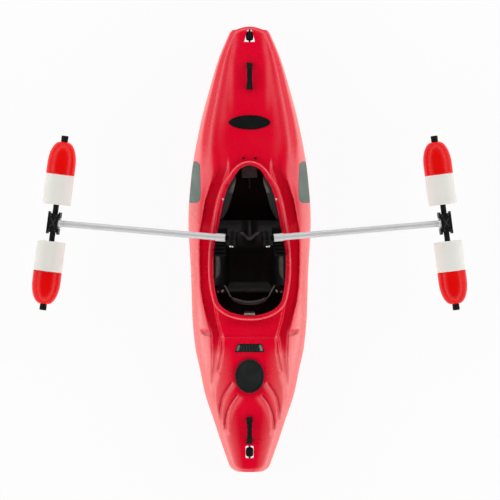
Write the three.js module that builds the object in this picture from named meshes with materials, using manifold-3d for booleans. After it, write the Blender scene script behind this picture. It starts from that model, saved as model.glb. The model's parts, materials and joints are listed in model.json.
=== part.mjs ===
// A short whitewater kayak with an outrigger bolted into each side of its cockpit.
// Lengths are in millimetres and angles in degrees. +X is the boat's starboard side, +Y is its bow
// and +Z is up. The origin is on the ground under the middle of the boat.

import * as THREE from 'three';
import { mergeVertices } from 'three/addons/utils/BufferGeometryUtils.js';
import Module from 'manifold-3d';

const wasm = await Module();
wasm.setup();

// Fits and cuts
const gap = 0.3; // between pieces that touch
const overrun = 20; // by which a cut runs past what it cuts
const surfaceTolerance = 0.1; // by which a cut body's surface may be simplified
const roundSegments = 18; // round a turned body
const smallSegments = 14; // round a bolt, pin or bore

// Hull and deck
const hullLength = 2600;
const hullBeam = 716;
const hullDepth = 360; // from the flat bottom to the highest part of the deck
const hullWall = 6;
const hullEndRadius = 40;
const hullEndWall = 28;
const stationPitch = 112;
const grooveDepth = 17;
const crestRise = 6;
const ridgeRise = 6;

// Cockpit and its coaming
const cockpitLength = 874;
const cockpitWidth = 424;
const cockpitFront = 490; // ahead of the boat's middle
const rimFrontHeight = 380;
const rimRearHeight = 325;
const skirtDepth = 75;
const skirtWall = 7;
const flankWidth = 22;
const flankDrop = 15;
const flangeWidth = 30;
const flangeDepth = 10;

// Holes through the ends of the boat, with their toggles
const towHoleLength = 72;
const bowHoleFrontWidth = 26;
const bowHoleRearWidth = 64;
const bowHoleSetback = 55; // from the bow to the middle of the hole
const sternHoleWidth = 46;
const sternHoleSetback = 118;
const towHoleWall = 6;
const toggleWidth = 42;
const toggleLength = 54;
const toggleHeight = 60;
const togglePinDiameter = 12;

// Carrying handles
const handleWidth = 38;
const handleLength = 156;
const handleThickness = 9;
const handleRise = 30;
const handleFootLength = 26;

// Fore deck pad, stern hatch and deck strip
const deckPadLength = 247;
const deckPadWidth = 84;
const deckPadThickness = 4;
const hatchWidth = 169;
const hatchLength = 198;
const hatchRoof = 6;
const hatchSkirt = 5;
const hatchBossHeight = 9;
const hatchBossWall = 9;
const stripWidth = 172;
const stripShortWidth = 138;
const stripLength = 49;
const stripThickness = 6;

// Patches on the boat's sides
const patchLength = 242;
const patchWidth = 64;
const patchThickness = 2.5;
const patchMiddle = 393; // ahead of the boat's middle

// Seat and hip pads
const seatLength = 425;
const seatWidth = 426;
const seatThickness = 8;
const seatFront = 172; // ahead of the boat's middle
const seatWingHeight = 215;
const seatFrontRise = 62;
const seatRearRise = 34;
const pommelRise = 38;
const hipPadThickness = 26;

// Backband, ratchets and their levers
const bandHeight = 118;
const bandThickness = 22;
const bandMiddleHeight = 205; // above the ground
const bandEndInset = 63; // from the seat's side in to a strap's end
const bandSetback = 250; // from the boat's middle back to the band's ends
const bandSag = 62;
const strapHeight = 25;
const strapThickness = 5;
const buckleLength = 52;
const buckleWidth = 30;
const buckleHeight = 20;
const buckleTabThickness = 4;
const buckleTabWidth = 44;
const buckleTabLength = 40;
const leverLength = 44;
const leverWidth = 22;
const leverThickness = 5;
const leverPinDiameter = 6;

// Thigh braces
const braceLength = 250;
const braceReach = 52;
const braceThickness = 9;
const braceDrop = 26;
const braceSetback = 190; // from the front of the cockpit back to the brace's middle

// Foot rails and pedals
const railLength = 300;
const railHeight = 34;
const railThickness = 16;
const railInset = 33; // from the boat's widest line in to the rail's inner face
const railLift = 142; // of the rail's middle above the ground
const pedalWidth = 96;
const pedalHeight = 118;
const pedalThickness = 12;
const pedalShoeLength = 60;

// Foam pillars
const bowPillarWidth = 93;
const bowPillarStepAhead = 50; // of the front of the cockpit
const bowPillarOverlap = 70; // of the pillar with the cockpit
const bowPillarStepHeight = 286;
const bowFinWidth = 12;
const bowFinOverlap = 128;
const bowFinHeight = 210;
const sternPillarWidth = 63;
const sternPillarStepBehind = 36; // the rear of the cockpit
const sternPillarOverlap = 24;
const sternPillarStepHeight = 232;

// Bracket of an outrigger inside the coaming
const saddleLength = 170;
const saddleMiddle = 46; // ahead of the boat's middle
const saddleHeight = 62;
const saddleBelowRim = 8;
const saddleRibHeight = 6;
const saddleRibCount = 8;
const yokeWidth = 86;
const yokeSlotWidth = 24;
const yokeEarRadius = 30;
const yokeNeckWidth = 46;
const yokeBaseHeight = 60;
const yokeBaseReach = 33;
const yokeBaseClearance = 5;
const pivotAhead = 64; // of the pivot before the boat's middle
const pivotAboveRim = 56;
const pivotInset = 92; // from the cockpit's edge in to the pivot
const pivotBoltDiameter = 12;
const pivotHeadDiameter = 26;
const pivotHeadThickness = 8;

// Arm of an outrigger
const armReach = 1064; // from the pivot to the middle of the hub
const armSweep = 5;
const armDroop = 11;
const tubeDiameter = 38;
const tubeWall = 2.5;
const sleeveWall = 3.7;
const sleeveLength = 58;
const knuckleRadius = 24;
const knuckleNeck = 32;
const knuckleLength = 37;
const knuckleDiscDiameter = 44;
const knuckleDiscThickness = 5;
const plugLength = 46;
const flangeDiameter = 56;
const flangeThickness = 13;
const neckLength = 11;
const neckDiameter = 37;
const spigotDiameter = 20;
const spigotLength = 9;

// Hub, rod and floats of an outrigger
const hubSkew = 2.4;
const hubWidth = 56;
const hubLength = 112;
const hubHeight = 62;
const hubCorner = 14;
const lugLength = 131;
const lugThickness = 8;
const lugHeight = 50;
const lugSpace = 62; // between a hub's two lugs
const rodDiameter = 33;
const rodFlutes = 8;
const rodFluteDepth = 2.4;
const rodLength = 990;
const rodClearance = 0.6;
const floatDiameter = 168;
const floatLength = 369;
const floatShellLength = 177;
const floatBase = 108; // from the hub's middle to a float
const floatWall = 3.2;
const floatEdgeRadius = 7;
const floatTipDiameter = 46;
const floatDomeLength = 138;
const knobDiameter = 41;
const knobLength = 36;

// The boat's shape along its length. A row is a place from -1 at the stern to 1 at the bow, and
// a share there.
const beamShares = [
  [-1, 0.29], [-0.865, 0.465], [-0.757, 0.596], [-0.649, 0.727], [-0.542, 0.808], [-0.434, 0.89],
  [-0.3, 0.935], [-0.11, 0.957], [0.133, 1], [0.321, 0.955], [0.537, 0.824], [0.753, 0.62], [0.861, 0.498],
  [0.97, 0.33], [1, 0.28],
];
const crownShares = [
  [-1, 0.7], [-0.8, 0.755], [-0.6, 0.8], [-0.43, 0.825], [-0.31, 0.82], [0, 0.93], [0.38, 1], [0.6, 0.995],
  [0.8, 0.965], [1, 0.9],
];
const seamShares = [[-1, 0.57], [-0.6, 0.52], [0, 0.5], [0.5, 0.57], [1, 0.75]];
const keelShares = [
  [-1, 0.33], [-0.75, 0.16], [-0.5, 0.045], [-0.3, 0], [0.34, 0], [0.55, 0.06], [0.78, 0.24], [1, 0.54],
];

// Lines along the deck as shares of the half width: the crest of the middle panel, the groove beside
// it, which turns into the sunk band round the cockpit, and the ridge outside the groove
const crestShares = [
  [-1, 0.3], [-0.62, 0.5], [-0.47, 0.47], [-0.31, 0.5], [-0.2, 0.63], [0.05, 0.57], [0.22, 0.5],
  [0.389, 0.35], [0.47, 0.37], [0.6, 0.47], [0.8, 0.46], [1, 0.42],
];
const grooveShares = [
  [-1, 0.6], [-0.62, 0.78], [-0.47, 0.66], [-0.38, 0.61], [-0.24, 0.73], [-0.02, 0.755], [0.088, 0.72],
  [0.222, 0.645], [0.357, 0.5], [0.515, 0.6], [0.71, 0.52], [1, 0.6],
];
const ridgeShares = [
  [-1, 0.75], [-0.62, 0.86], [-0.47, 0.72], [-0.38, 0.7], [-0.24, 0.82], [-0.02, 0.83], [0.16, 0.82],
  [0.33, 0.63], [0.515, 0.72], [0.71, 0.68], [1, 0.74],
];
const grooveDepthShares = [
  [-1, 0], [-0.64, 0], [-0.5, 0.6], [-0.3, 0.9], [0.1, 1], [0.36, 0.85], [0.5, 0.7], [0.88, 0.55], [0.97, 0],
];
const wallShares = [0.35, 0.66, 0.88]; // of the way from the ridge to the seam
const hullSectionShares = [
  [1, 0], [0.985, 0.25], [0.93, 0.55], [0.84, 0.82], [0.73, 0.97], [0.62, 1], [0, 1],
];
const endFaceShare = 0.5; // of the full section, at the very end
const deckPower = 2.6;
const deckFall = 0.62;

// Half of the cockpit's edge from its front to its rear, in shares of its half width and of its length
const cockpitShares = [
  [0, 0], [0.25, 0.022], [0.459, 0.09], [0.6, 0.15], [0.72, 0.245], [0.87, 0.432], [0.973, 0.563], [1, 0.66],
  [0.985, 0.76], [0.925, 0.855], [0.84, 0.92], [0.62, 0.967], [0.32, 0.993], [0, 1],
];
const rimSegments = 42;

// Clearances on the free deck, from the cockpit on: before the pad and the bow handle; before the
// strip, the hatch and the stern handle. They are shares of what these leave free up to the hole.
const bowClearShares = [0.3964, 0.3318];
const sternClearShares = [0.4118, 0.1231, 0.4255];

// Places inside the boat, in shares of the way from the cockpit to the bow or the stern
const railShare = 0.2222;
const bowPillarShare = 0.6914;
const sternPillarShare = 0.2358;

const halfLength = hullLength / 2;
const halfBeam = hullBeam / 2;
const floorHeight = hullWall + gap;
const cockpitRear = cockpitFront - cockpitLength;
const bowHoleY = halfLength - bowHoleSetback;
const sternHoleY = sternHoleSetback - halfLength;
const [deckPadY, bowHandleY] = laidOut(
  cockpitFront + flangeWidth,
  bowHoleY - towHoleLength / 2,
  [deckPadWidth, handleLength],
  bowClearShares,
);
const [stripY, hatchY, sternHandleY] = laidOut(
  cockpitRear - flangeWidth,
  sternHoleY + towHoleLength / 2,
  [stripLength, hatchLength, handleLength],
  sternClearShares,
);

const red = '#e20a28';
const floatRed = '#fa1c12';
const white = '#f4f3ee';
const silver = '#dcdcdc';
const black = '#141414';
const softBlack = '#1c1c1c';
const foamGrey = '#48433f';
const patchGrey = '#8c9691';

const craft = new THREE.Group();

// The middles of fittings laid out from one place to another, each after its share of the length left free
function laidOut(from, to, lengths, clearShares) {
  const way = Math.sign(to - from);
  const free = Math.abs(to - from) - lengths.reduce((sum, length) => sum + length, 0);
  let reached = from;
  return lengths.map((length, i) => {
    const start = reached + way * clearShares[i] * free;
    reached = start + way * length;
    return (start + reached) / 2;
  });
}

function material(color, roughness, metalness = 0) {
  return new THREE.MeshStandardMaterial({ color, roughness, metalness });
}

const plastic = (color) => material(color, 0.4);
const rubber = (color) => material(color, 0.8);
const metal = (color) => material(color, 0.35, 0.9);

function add(parent, name, shape, look) {
  const mesh = new THREE.Mesh(shape.isBufferGeometry ? tidied(shape) : geometryOf(shape), look);
  mesh.name = name;
  parent.add(mesh);
  return mesh;
}

// A closed geometry with shared vertices, no flat triangles and its faces pointing out
function tidied(source) {
  const bare = new THREE.BufferGeometry();
  bare.setAttribute('position', source.getAttribute('position').clone());
  bare.setIndex(source.index);
  const merged = mergeVertices(bare, 1e-3);
  const at = merged.getAttribute('position');
  const index = [];
  const corners = [new THREE.Vector3(), new THREE.Vector3(), new THREE.Vector3()];
  let volume = 0;
  for (let i = 0; i < merged.index.count; i += 3) {
    const face = [0, 1, 2].map((k) => merged.index.getX(i + k));
    if (new Set(face).size < 3) continue;
    index.push(...face);
    corners.forEach((corner, k) => corner.fromBufferAttribute(at, face[k]));
    volume += corners[0].dot(corners[1].clone().cross(corners[2]));
  }
  if (volume < 0) index.reverse();
  merged.setIndex(index);
  return merged;
}

function solidOf(source) {
  const shape = tidied(source);
  return new wasm.Manifold(new wasm.Mesh({
    numProp: 3,
    vertProperties: new Float32Array(shape.getAttribute('position').array),
    triVerts: new Uint32Array(shape.index.array),
  }));
}

// The largest of a shape's separate pieces
const biggest = (shape) => shape.decompose().sort((one, other) => other.volume() - one.volume()).shift();

function geometryOf(solid) {
  const mesh = solid.simplify(surfaceTolerance).getMesh();
  const shape = new THREE.BufferGeometry();
  shape.setAttribute('position', new THREE.BufferAttribute(new Float32Array(mesh.vertProperties), 3));
  shape.setIndex(Array.from(mesh.triVerts));
  return tidied(shape);
}

// A closed body through rings of points that all have the same count. Its ends are capped unless
// the rings close up.
function loft(rings, closes = false) {
  const size = rings[0].length;
  const points = rings.flat();
  const index = [];
  const quad = (a, b, c, d) => index.push(a, b, c, a, c, d);
  for (let i = 0; i < rings.length - (closes ? 0 : 1); i += 1) {
    const here = i * size;
    const next = ((i + 1) % rings.length) * size;
    for (let k = 0; k < size; k += 1) {
      const after = (k + 1) % size;
      quad(here + k, here + after, next + after, next + k);
    }
  }
  const cap = (first, turned) => {
    const middle = points.length;
    const ring = points.slice(first, first + size);
    points.push([0, 1, 2].map((axis) => ring.reduce((sum, p) => sum + p[axis], 0) / size));
    for (let k = 0; k < size; k += 1) {
      const pair = [first + k, first + ((k + 1) % size)];
      if (turned) pair.reverse();
      index.push(middle, ...pair);
    }
  };
  if (!closes) {
    cap(0, true);
    cap((rings.length - 1) * size, false);
  }
  const shape = new THREE.BufferGeometry();
  shape.setAttribute('position', new THREE.Float32BufferAttribute(points.flat(), 3));
  shape.setIndex(index);
  return shape;
}

// A closed body between a lower and an upper sheet, given as rows of points with equal counts
function slab(lower, upper) {
  const [rows, columns] = [lower.length - 1, lower[0].length - 1];
  const low = (i, k) => i * (columns + 1) + k;
  const high = (i, k) => low(rows + 1 + i, k);
  const index = [];
  const quad = (a, b, c, d) => index.push(a, b, c, a, c, d);
  for (let k = 0; k < columns; k += 1) {
    quad(low(0, k), low(0, k + 1), high(0, k + 1), high(0, k));
    quad(low(rows, k), high(rows, k), high(rows, k + 1), low(rows, k + 1));
  }
  for (let i = 0; i < rows; i += 1) {
    quad(low(i, 0), high(i, 0), high(i + 1, 0), low(i + 1, 0));
    quad(low(i, columns), low(i + 1, columns), high(i + 1, columns), high(i, columns));
    for (let k = 0; k < columns; k += 1) {
      quad(high(i, k), high(i, k + 1), high(i + 1, k + 1), high(i + 1, k));
      quad(low(i, k), low(i + 1, k), low(i + 1, k + 1), low(i, k + 1));
    }
  }
  const shape = new THREE.BufferGeometry();
  shape.setAttribute('position', new THREE.Float32BufferAttribute([...lower, ...upper].flat(2), 3));
  shape.setIndex(index);
  return shape;
}

function prism(outline, bottom, top) {
  const shape = new THREE.Shape(outline.map(([x, y]) => new THREE.Vector2(x, y)));
  const upright = new THREE.ExtrudeGeometry(shape, { depth: top - bottom, bevelEnabled: false });
  return upright.translate(0, 0, bottom);
}

function box(low, high) {
  const size = high.map((value, axis) => value - low[axis]);
  const middle = high.map((value, axis) => (value + low[axis]) / 2);
  return new THREE.BoxGeometry(...size).translate(...middle);
}

// A body turned about the Y axis, from rows of radius and place along the axis
function turned(profile, segments = roundSegments) {
  const points = profile.map(([radius, along]) => new THREE.Vector2(radius, along));
  return new THREE.LatheGeometry(points, segments);
}

function rod(radius, from, to, segments = roundSegments) {
  return turned([[0, from], [radius, from], [radius, to], [0, to]], segments);
}

const alongX = (shape) => shape.rotateZ(-Math.PI / 2);
const radians = THREE.MathUtils.degToRad;
const { lerp, smoothstep } = THREE.MathUtils;

function ellipse(width, length, count = 32) {
  return Array.from({ length: count }, (_, k) => {
    const angle = (k / count) * Math.PI * 2;
    return [Math.cos(angle) * width / 2, Math.sin(angle) * length / 2];
  });
}

function steps(from, to, count) {
  return Array.from({ length: count + 1 }, (_, k) => lerp(from, to, k / count));
}

// A smooth line through rows of place and share that never overshoots a row
function along(rows, place) {
  const last = rows.length - 2;
  let i = 0;
  while (i < last && place > rows[i + 1][0]) i += 1;
  const slope = (a, b) => (b[1] - a[1]) / (b[0] - a[0]);
  const joined = (a, b) => (a * b > 0 ? (2 * a * b) / (a + b) : 0);
  const [start, end] = [rows[i], rows[i + 1]];
  const here = slope(start, end);
  const startSlope = i > 0 ? joined(slope(rows[i - 1], start), here) : here;
  const endSlope = i < last ? joined(here, slope(end, rows[i + 2])) : here;
  const width = end[0] - start[0];
  const t = THREE.MathUtils.clamp((place - start[0]) / width, 0, 1);
  const rise = end[1] - start[1];
  return start[1] + width * startSlope * t
    + (3 * rise - width * (2 * startSlope + endSlope)) * t * t
    + (width * (startSlope + endSlope) - 2 * rise) * t * t * t;
}

// The boat's half width and heights at a place along it, drawn in towards the seam at the rounded ends
function station(y) {
  const place = y / halfLength;
  const inward = 1 - Math.min(halfLength - Math.abs(y), hullEndRadius) / hullEndRadius;
  const full = lerp(endFaceShare, 1, Math.sqrt(1 - inward * inward));
  const seam = along(seamShares, place) * hullDepth;
  return {
    place,
    seam,
    halfWidth: along(beamShares, place) * halfBeam * full,
    crown: seam + (along(crownShares, place) * hullDepth - seam) * full,
    keel: seam + (along(keelShares, place) * hullDepth - seam) * full,
  };
}

// Half of the deck's section from its middle to the seam: points of half width and height
function deckHalf(y) {
  const { place, seam, halfWidth, crown } = station(y);
  const [crest, groove, ridge] = [crestShares, grooveShares, ridgeShares].map((rows) => along(rows, place));
  const depth = Math.max(0, along(grooveDepthShares, place));
  const marks = [
    [0, 0], [crest / 2, crestRise / 2 * depth], [crest, crestRise * depth],
    [(crest + groove) / 2, (crestRise - grooveDepth) / 2 * depth], [groove, -grooveDepth * depth],
    [ridge, ridgeRise * depth], ...wallShares.map((share) => [lerp(ridge, 1, share), 0]), [1, 0],
  ];
  return marks.map(([across, lift]) => [
    across * halfWidth,
    seam + (crown - seam) * (1 - across ** deckPower) ** deckFall + lift,
  ]);
}

function hullHalf(y) {
  const { seam, halfWidth, keel } = station(y);
  return hullSectionShares.map(([across, down]) => [across * halfWidth, lerp(seam, keel, down)]).reverse();
}

// A whole section from port to starboard, moved inwards by a wall; inside is 1 where the inside is
// below, else -1
function wholeSection(half, wall, inside) {
  const line = [...half.map(([x, z]) => [-x, z]).reverse().slice(0, -1), ...half];
  return line.map(([x, z], i) => {
    const before = line[Math.max(i - 1, 0)];
    const after = line[Math.min(i + 1, line.length - 1)];
    const run = after[0] - before[0];
    const climb = after[1] - before[1];
    const length = Math.hypot(run, climb);
    return [x + (climb / length) * wall * inside, z - (run / length) * wall * inside];
  });
}

// The boat's rows of places: rounded ends with three rows each, even ones between
const endRowShares = [0.12, 0.45, 1]; // of the end's rounding

function stationPlaces(setback) {
  const inner = halfLength - hullEndRadius;
  const even = steps(-inner, inner, Math.round(2 * inner / stationPitch));
  const ends = endRowShares.map((share) => inner + hullEndRadius * Math.sin(Math.acos(1 - share)));
  const places = [...ends.map((y) => -y).reverse(), ...even, ...ends];
  const limit = halfLength - setback;
  return [...new Set(places.map((y) => THREE.MathUtils.clamp(y, -limit, limit)))];
}

// The body over or under the seam, or the space inside it
function halfBoat(halfSection, inside, wall, seamShift) {
  const places = stationPlaces(wall > 0 ? hullEndWall : 0);
  return solidOf(loft(places.map((y) => {
    const line = wholeSection(halfSection(y), wall, inside);
    const edge = station(y).seam + seamShift;
    line[0][1] = edge;
    line[line.length - 1][1] = edge;
    return line.map(([x, z]) => [x, y, z]);
  })));
}

const deckBody = halfBoat(deckHalf, 1, 0, gap);
const hullBody = halfBoat(hullHalf, -1, 0, 0);
const deckSpace = (wall) => halfBoat(deckHalf, 1, wall, -overrun);
const hullSpace = (wall) => halfBoat(hullHalf, -1, wall, overrun);
const insideSpace = deckSpace(hullWall + gap).add(hullSpace(hullWall + gap));

// A piece laid on the deck inside an outline: as thick as asked, following the deck's surface
function deckLayer(outline, thickness, sideways = 0) {
  const column = solidOf(prism(outline, 0, hullDepth + overrun));
  const lifted = (by) => deckBody.translate([sideways * by, 0, by]);
  return column.intersect(lifted(gap + thickness)).subtract(lifted(gap));
}

const settled = (shape) => solidOf(shape).subtract(deckBody.translate([0, 0, gap]));
const crownAt = (y) => station(y).crown;
const deckSlope = (y) => Math.atan2(crownAt(y + overrun) - crownAt(y - overrun), overrun + overrun);

// The cockpit's edge: points with their outward directions, and its half width at a place
const cockpitEdge = (() => {
  const half = cockpitShares.map(([across, back]) => [
    across * cockpitWidth / 2, cockpitFront - back * cockpitLength,
  ]);
  const port = half.slice(1, -1).reverse().map(([x, y]) => [-x, y]);
  const corners = [...half, ...port].map(([x, y]) => new THREE.Vector3(x, y, 0));
  const line = new THREE.CatmullRomCurve3(corners, true);
  const points = line.getSpacedPoints(rimSegments).slice(0, -1);
  return points.map((point, i) => {
    const before = points[(i + rimSegments - 1) % rimSegments];
    const after = points[(i + 1) % rimSegments];
    const way = after.clone().sub(before).normalize();
    return { x: point.x, y: point.y, outX: -way.y, outY: way.x };
  });
})();

function edgeAt(y) {
  const side = cockpitEdge.filter((point) => point.x > 0).sort((a, b) => a.y - b.y);
  const i = THREE.MathUtils.clamp(side.findIndex((point) => point.y >= y), 1, side.length - 1);
  const [low, high] = [side[i - 1], side[i]];
  return lerp(low.x, high.x, (y - low.y) / (high.y - low.y));
}

const rimHeight = (y) => lerp(rimRearHeight, rimFrontHeight, (y - cockpitRear) / cockpitLength);

// Rings round the cockpit from rows of distance outside its edge and height above the rim's crest
function roundCockpit(rows) {
  return loft(cockpitEdge.map(({ x, y, outX, outY }) => rows.map(([out, up]) => [
    x + outX * out, y + outY * out, rimHeight(y) + up,
  ])), true);
}

// The rim's section, in shares: a bend in the flank, the flange's rounding and two bends below it
const flankBendShares = [0.62, 0.22];
const flangeRoundShare = 0.25;
const upperBendShares = [0.3, 0.7];
const lowerBendShare = 1.3;

function coaming() {
  return solidOf(roundCockpit([
    [0, -skirtDepth], [0, -flankDrop],
    [flankWidth * flankBendShares[0], -flankDrop * flankBendShares[1]], [flankWidth, 0],
    [flangeWidth, -flangeDepth * flangeRoundShare], [flangeWidth, -flangeDepth], [flankWidth, -flangeDepth],
    [skirtWall + flangeDepth * upperBendShares[0], -flangeDepth - flankDrop * upperBendShares[1]],
    [skirtWall, -flangeDepth - flankDrop * lowerBendShare], [skirtWall, -skirtDepth],
  ]));
}

function cockpitCut() {
  const out = skirtWall / 2;
  const outline = cockpitEdge.map(({ x, y, outX, outY }) => [x + outX * out, y + outY * out]);
  return solidOf(prism(outline, 0, hullDepth + overrun));
}

// The outlines of the two holes through the boat's ends
function holeOutline(middle, frontWidth, rearWidth, grown = 0) {
  const [front, rear] = [middle + towHoleLength / 2 + grown, middle - towHoleLength / 2 - grown];
  const [wide, wider] = [frontWidth / 2 + grown, rearWidth / 2 + grown];
  return [[-wider, rear], [wider, rear], [wide, front], [-wide, front]];
}

const towHoles = [
  [bowHoleY, bowHoleFrontWidth, bowHoleRearWidth],
  [sternHoleY, sternHoleWidth, sternHoleWidth],
];

// A shell with a walled hole through each end
function withTowHoles(shell, body) {
  const column = (hole, grown) => solidOf(prism(holeOutline(...hole, grown), -overrun, hullDepth + overrun));
  return towHoles.reduce((shape, hole) => shape
    .add(column(hole, towHoleWall).intersect(body))
    .subtract(column(hole, 0)), shell);
}

const hatchBossWidth = hatchWidth - 2 * (hatchSkirt + gap);
const hatchBossLength = hatchLength - 2 * (hatchSkirt + gap);

// An upright elliptical column in the hatch's own frame, which is tilted with the deck
function hatchColumn(width, length, bottom, top) {
  return solidOf(prism(ellipse(width, length), bottom, top)
    .rotateX(deckSlope(hatchY))
    .translate(0, hatchY, crownAt(hatchY)));
}

function deckShell() {
  const bossWall = 2 * hatchBossWall;
  const boss = hatchColumn(hatchBossWidth, hatchBossLength, -hullWall - hatchBossHeight, hatchBossHeight);
  const hole = hatchColumn(hatchBossWidth - bossWall, hatchBossLength - bossWall, -2 * overrun, 2 * overrun);
  const shell = deckBody.subtract(deckSpace(hullWall)).subtract(cockpitCut()).add(coaming());
  return withTowHoles(shell.add(boss).subtract(hole), deckBody);
}

function hullShell() {
  return withTowHoles(hullBody.subtract(hullSpace(hullWall)), hullBody);
}

function hatchCover() {
  const roof = hatchBossHeight + gap;
  const outside = hatchColumn(hatchWidth, hatchLength, -overrun, roof + hatchRoof);
  const inside = hatchColumn(hatchBossWidth + 2 * gap, hatchBossLength + 2 * gap, -2 * overrun, roof);
  return outside.subtract(inside).subtract(deckBody.translate([0, 0, gap]));
}

function deckStrip() {
  const [front, rear] = [stripY + stripLength / 2, stripY - stripLength / 2];
  return deckLayer([
    [-stripWidth / 2, rear], [stripWidth / 2, rear],
    [stripShortWidth / 2, front], [-stripShortWidth / 2, front],
  ], stripThickness);
}

function deckPad() {
  return deckLayer(ellipse(deckPadLength, deckPadWidth).map(([x, y]) => [x, y + deckPadY]), deckPadThickness);
}

// A patch between two lines on the boat's side that follow its plan shape
const patchLineShares = [1.03, 0.03]; // of its width, in from the boat's side

function sidePatch(side) {
  const rows = steps(patchMiddle - patchLength / 2, patchMiddle + patchLength / 2, 4);
  const edge = (share) => rows.map((y) => [side * (station(y).halfWidth - patchWidth * share), y]);
  const [inner, outer] = patchLineShares.map(edge);
  return deckLayer([...inner, ...outer.reverse()], patchThickness, side);
}

// A carrying handle: an arch whose feet stand on the deck
const handleWaistShare = 0.8; // of its width, at its middle
const handleCornerShare = 0.4; // of its thickness
const handleArchPowers = [3, 0.8];

function handle(middle) {
  const half = handleLength / 2;
  const rows = steps(-1, 1, 14).map((t) => {
    const y = middle + t * half;
    const foot = Math.abs(t) * half > half - handleFootLength;
    const rise = (1 - Math.abs(t) ** handleArchPowers[0]) ** handleArchPowers[1];
    const top = crownAt(y) + handleThickness + handleRise * rise;
    const bottom = foot ? crownAt(y) - handleThickness : top - handleThickness;
    const wide = handleWidth / 2 * lerp(handleWaistShare, 1, t * t);
    const corner = handleThickness * handleCornerShare;
    return [
      [-wide, y, bottom], [wide, y, bottom], [wide, y, top - corner], [wide - corner, y, top],
      [corner - wide, y, top], [-wide, y, top - corner],
    ];
  });
  return settled(loft(rows));
}

// A toggle in a hole through the boat's end: a rounded grip on a pin that runs fore and aft
function grabToggle(y) {
  const centre = [0, y, crownAt(y) - toggleHeight / 2];
  const grip = new THREE.SphereGeometry(1, 12, 8)
    .scale(toggleWidth / 2, toggleLength / 2, toggleHeight / 2)
    .translate(...centre);
  const half = towHoleLength / 2 - gap;
  const pin = rod(togglePinDiameter / 2, -half, half, smallSegments).translate(...centre);
  return solidOf(grip).add(solidOf(pin));
}

// The seat's upper surface: rows from its rear to its front, of points from port to starboard
const seatHalfShares = [0.11, 0.3, 0.56, 0.72, 0.84, 0.93, 1];
const seatAcrossShares = [...seatHalfShares.map((share) => -share).reverse(), 0, ...seatHalfShares];
const seatAlongShares = [0, 0.06, 0.14, 0.24, 0.36, 0.48, 0.58, 0.66, 0.74, 0.82, 0.91, 1];
const seatWingShares = [[0, 0.86], [0.14, 0.93], [0.3, 1], [0.5, 0.95], [0.62, 0.62], [0.8, 0.3], [1, 0.24]];
const wingSpanShares = [0.5, 1.04]; // across, where the wings rise
const frontRiseShares = [0.58, 1];
const rearRiseShares = [0, 0.16];
const pommelSpanShare = 0.13;
const pommelRiseShares = [0.62, 0.8];

function seatTop(lift = 0) {
  return seatAlongShares.map((back) => seatAcrossShares.map((across) => {
    const lifted = smoothstep(Math.abs(across), ...wingSpanShares);
    const wing = seatWingHeight * along(seatWingShares, back) * lifted;
    const front = seatFrontRise * smoothstep(back, ...frontRiseShares);
    const rear = seatRearRise * (1 - smoothstep(back, ...rearRiseShares));
    const hump = Math.exp(-((across / pommelSpanShare) ** 2));
    const pommel = pommelRise * hump * smoothstep(back, ...pommelRiseShares);
    const floor = floorHeight + seatThickness;
    return [
      across * seatWidth / 2, seatFront - seatLength * (1 - back),
      floor + Math.max(wing, front + rear) + pommel + lift,
    ];
  }));
}

const seatPan = solidOf(slab(seatTop(-seatThickness), seatTop()));

const hipPadStartShare = 0.7; // across the seat
const hipPadLiftShare = 0.3; // of its thickness

function hipPad(side) {
  const inPad = (i) => side * seatAcrossShares[i] > hipPadStartShare;
  const columns = seatAcrossShares.map((share, i) => i).filter(inPad);
  const rows = seatTop().slice(3, 7);
  const shifted = (inwards) => rows.map((row) => columns.map((i) => {
    const [x, y, z] = row[i];
    return [x - side * inwards, y, z + inwards * hipPadLiftShare];
  }));
  const pad = solidOf(slab(shifted(2 * gap), shifted(hipPadThickness)));
  return pad.subtract(seatPan.translate([-side * gap, 0, gap]));
}

// The backband: straps at its ends, a padded band between
const bandHalfSpan = seatWidth / 2 - bandEndInset;
const bandEndShare = 0.02; // the last stretch, which sets the direction of its end
const bandSagPower = 2.2;
const bandHalfShares = [0.25, 0.5, 0.66, 0.72, 0.8, 0.9, 1];
const bandShares = [...bandHalfShares.map((share) => -share).reverse(), 0, ...bandHalfShares];
const bandTaperShares = [0.6, 0.76];
const bandEdgeShare = 0.8; // of its height, where its edges' rounding starts
const bandFaceShare = 0.5; // of its thickness, left flat at its edges

function bandPoint(t) {
  return [t * bandHalfSpan, -bandSetback - bandSag * (1 - Math.abs(t) ** bandSagPower)];
}

function backband() {
  return loft(bandShares.map((t) => {
    const padded = 1 - smoothstep(Math.abs(t), ...bandTaperShares);
    const height = lerp(strapHeight, bandHeight, padded) / 2;
    const thick = lerp(strapThickness, bandThickness, padded) / 2;
    const [x, y] = bandPoint(t);
    const nearby = bandPoint(t + Math.sign(t || 1) * -bandEndShare);
    const way = new THREE.Vector2(nearby[0] - x, nearby[1] - y).normalize();
    const across = t > 0 ? [way.y, -way.x] : [-way.y, way.x];
    const at = (out, up) => [x + across[0] * out, y + across[1] * out, bandMiddleHeight + up];
    const [face, edge] = [thick * bandFaceShare, height * bandEdgeShare];
    return [
      at(-thick, -edge), at(-face, -height), at(face, -height), at(thick, -edge),
      at(thick, edge), at(face, height), at(-face, height), at(-thick, edge),
    ];
  }));
}

// A ratchet's own frame: X goes on along the strap from its end, outwards and forwards
function ratchetFrame(side) {
  const frame = new THREE.Group();
  const [x, y] = bandPoint(1);
  const [innerX, innerY] = bandPoint(1 - bandEndShare);
  const turn = Math.atan2(y - innerY, x - innerX);
  frame.position.set(side * x, y, bandMiddleHeight);
  frame.rotation.z = side > 0 ? turn : Math.PI - turn;
  frame.updateMatrix();
  return frame;
}

const leverPivot = [buckleLength * 0.8, 0, buckleHeight * 0.25];

// A shape turned about the Y axis, laid at a point
const pinAt = (point, radius, length, segments = 16) => (
  rod(radius, -length / 2, length / 2, segments).translate(...point)
);

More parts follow.
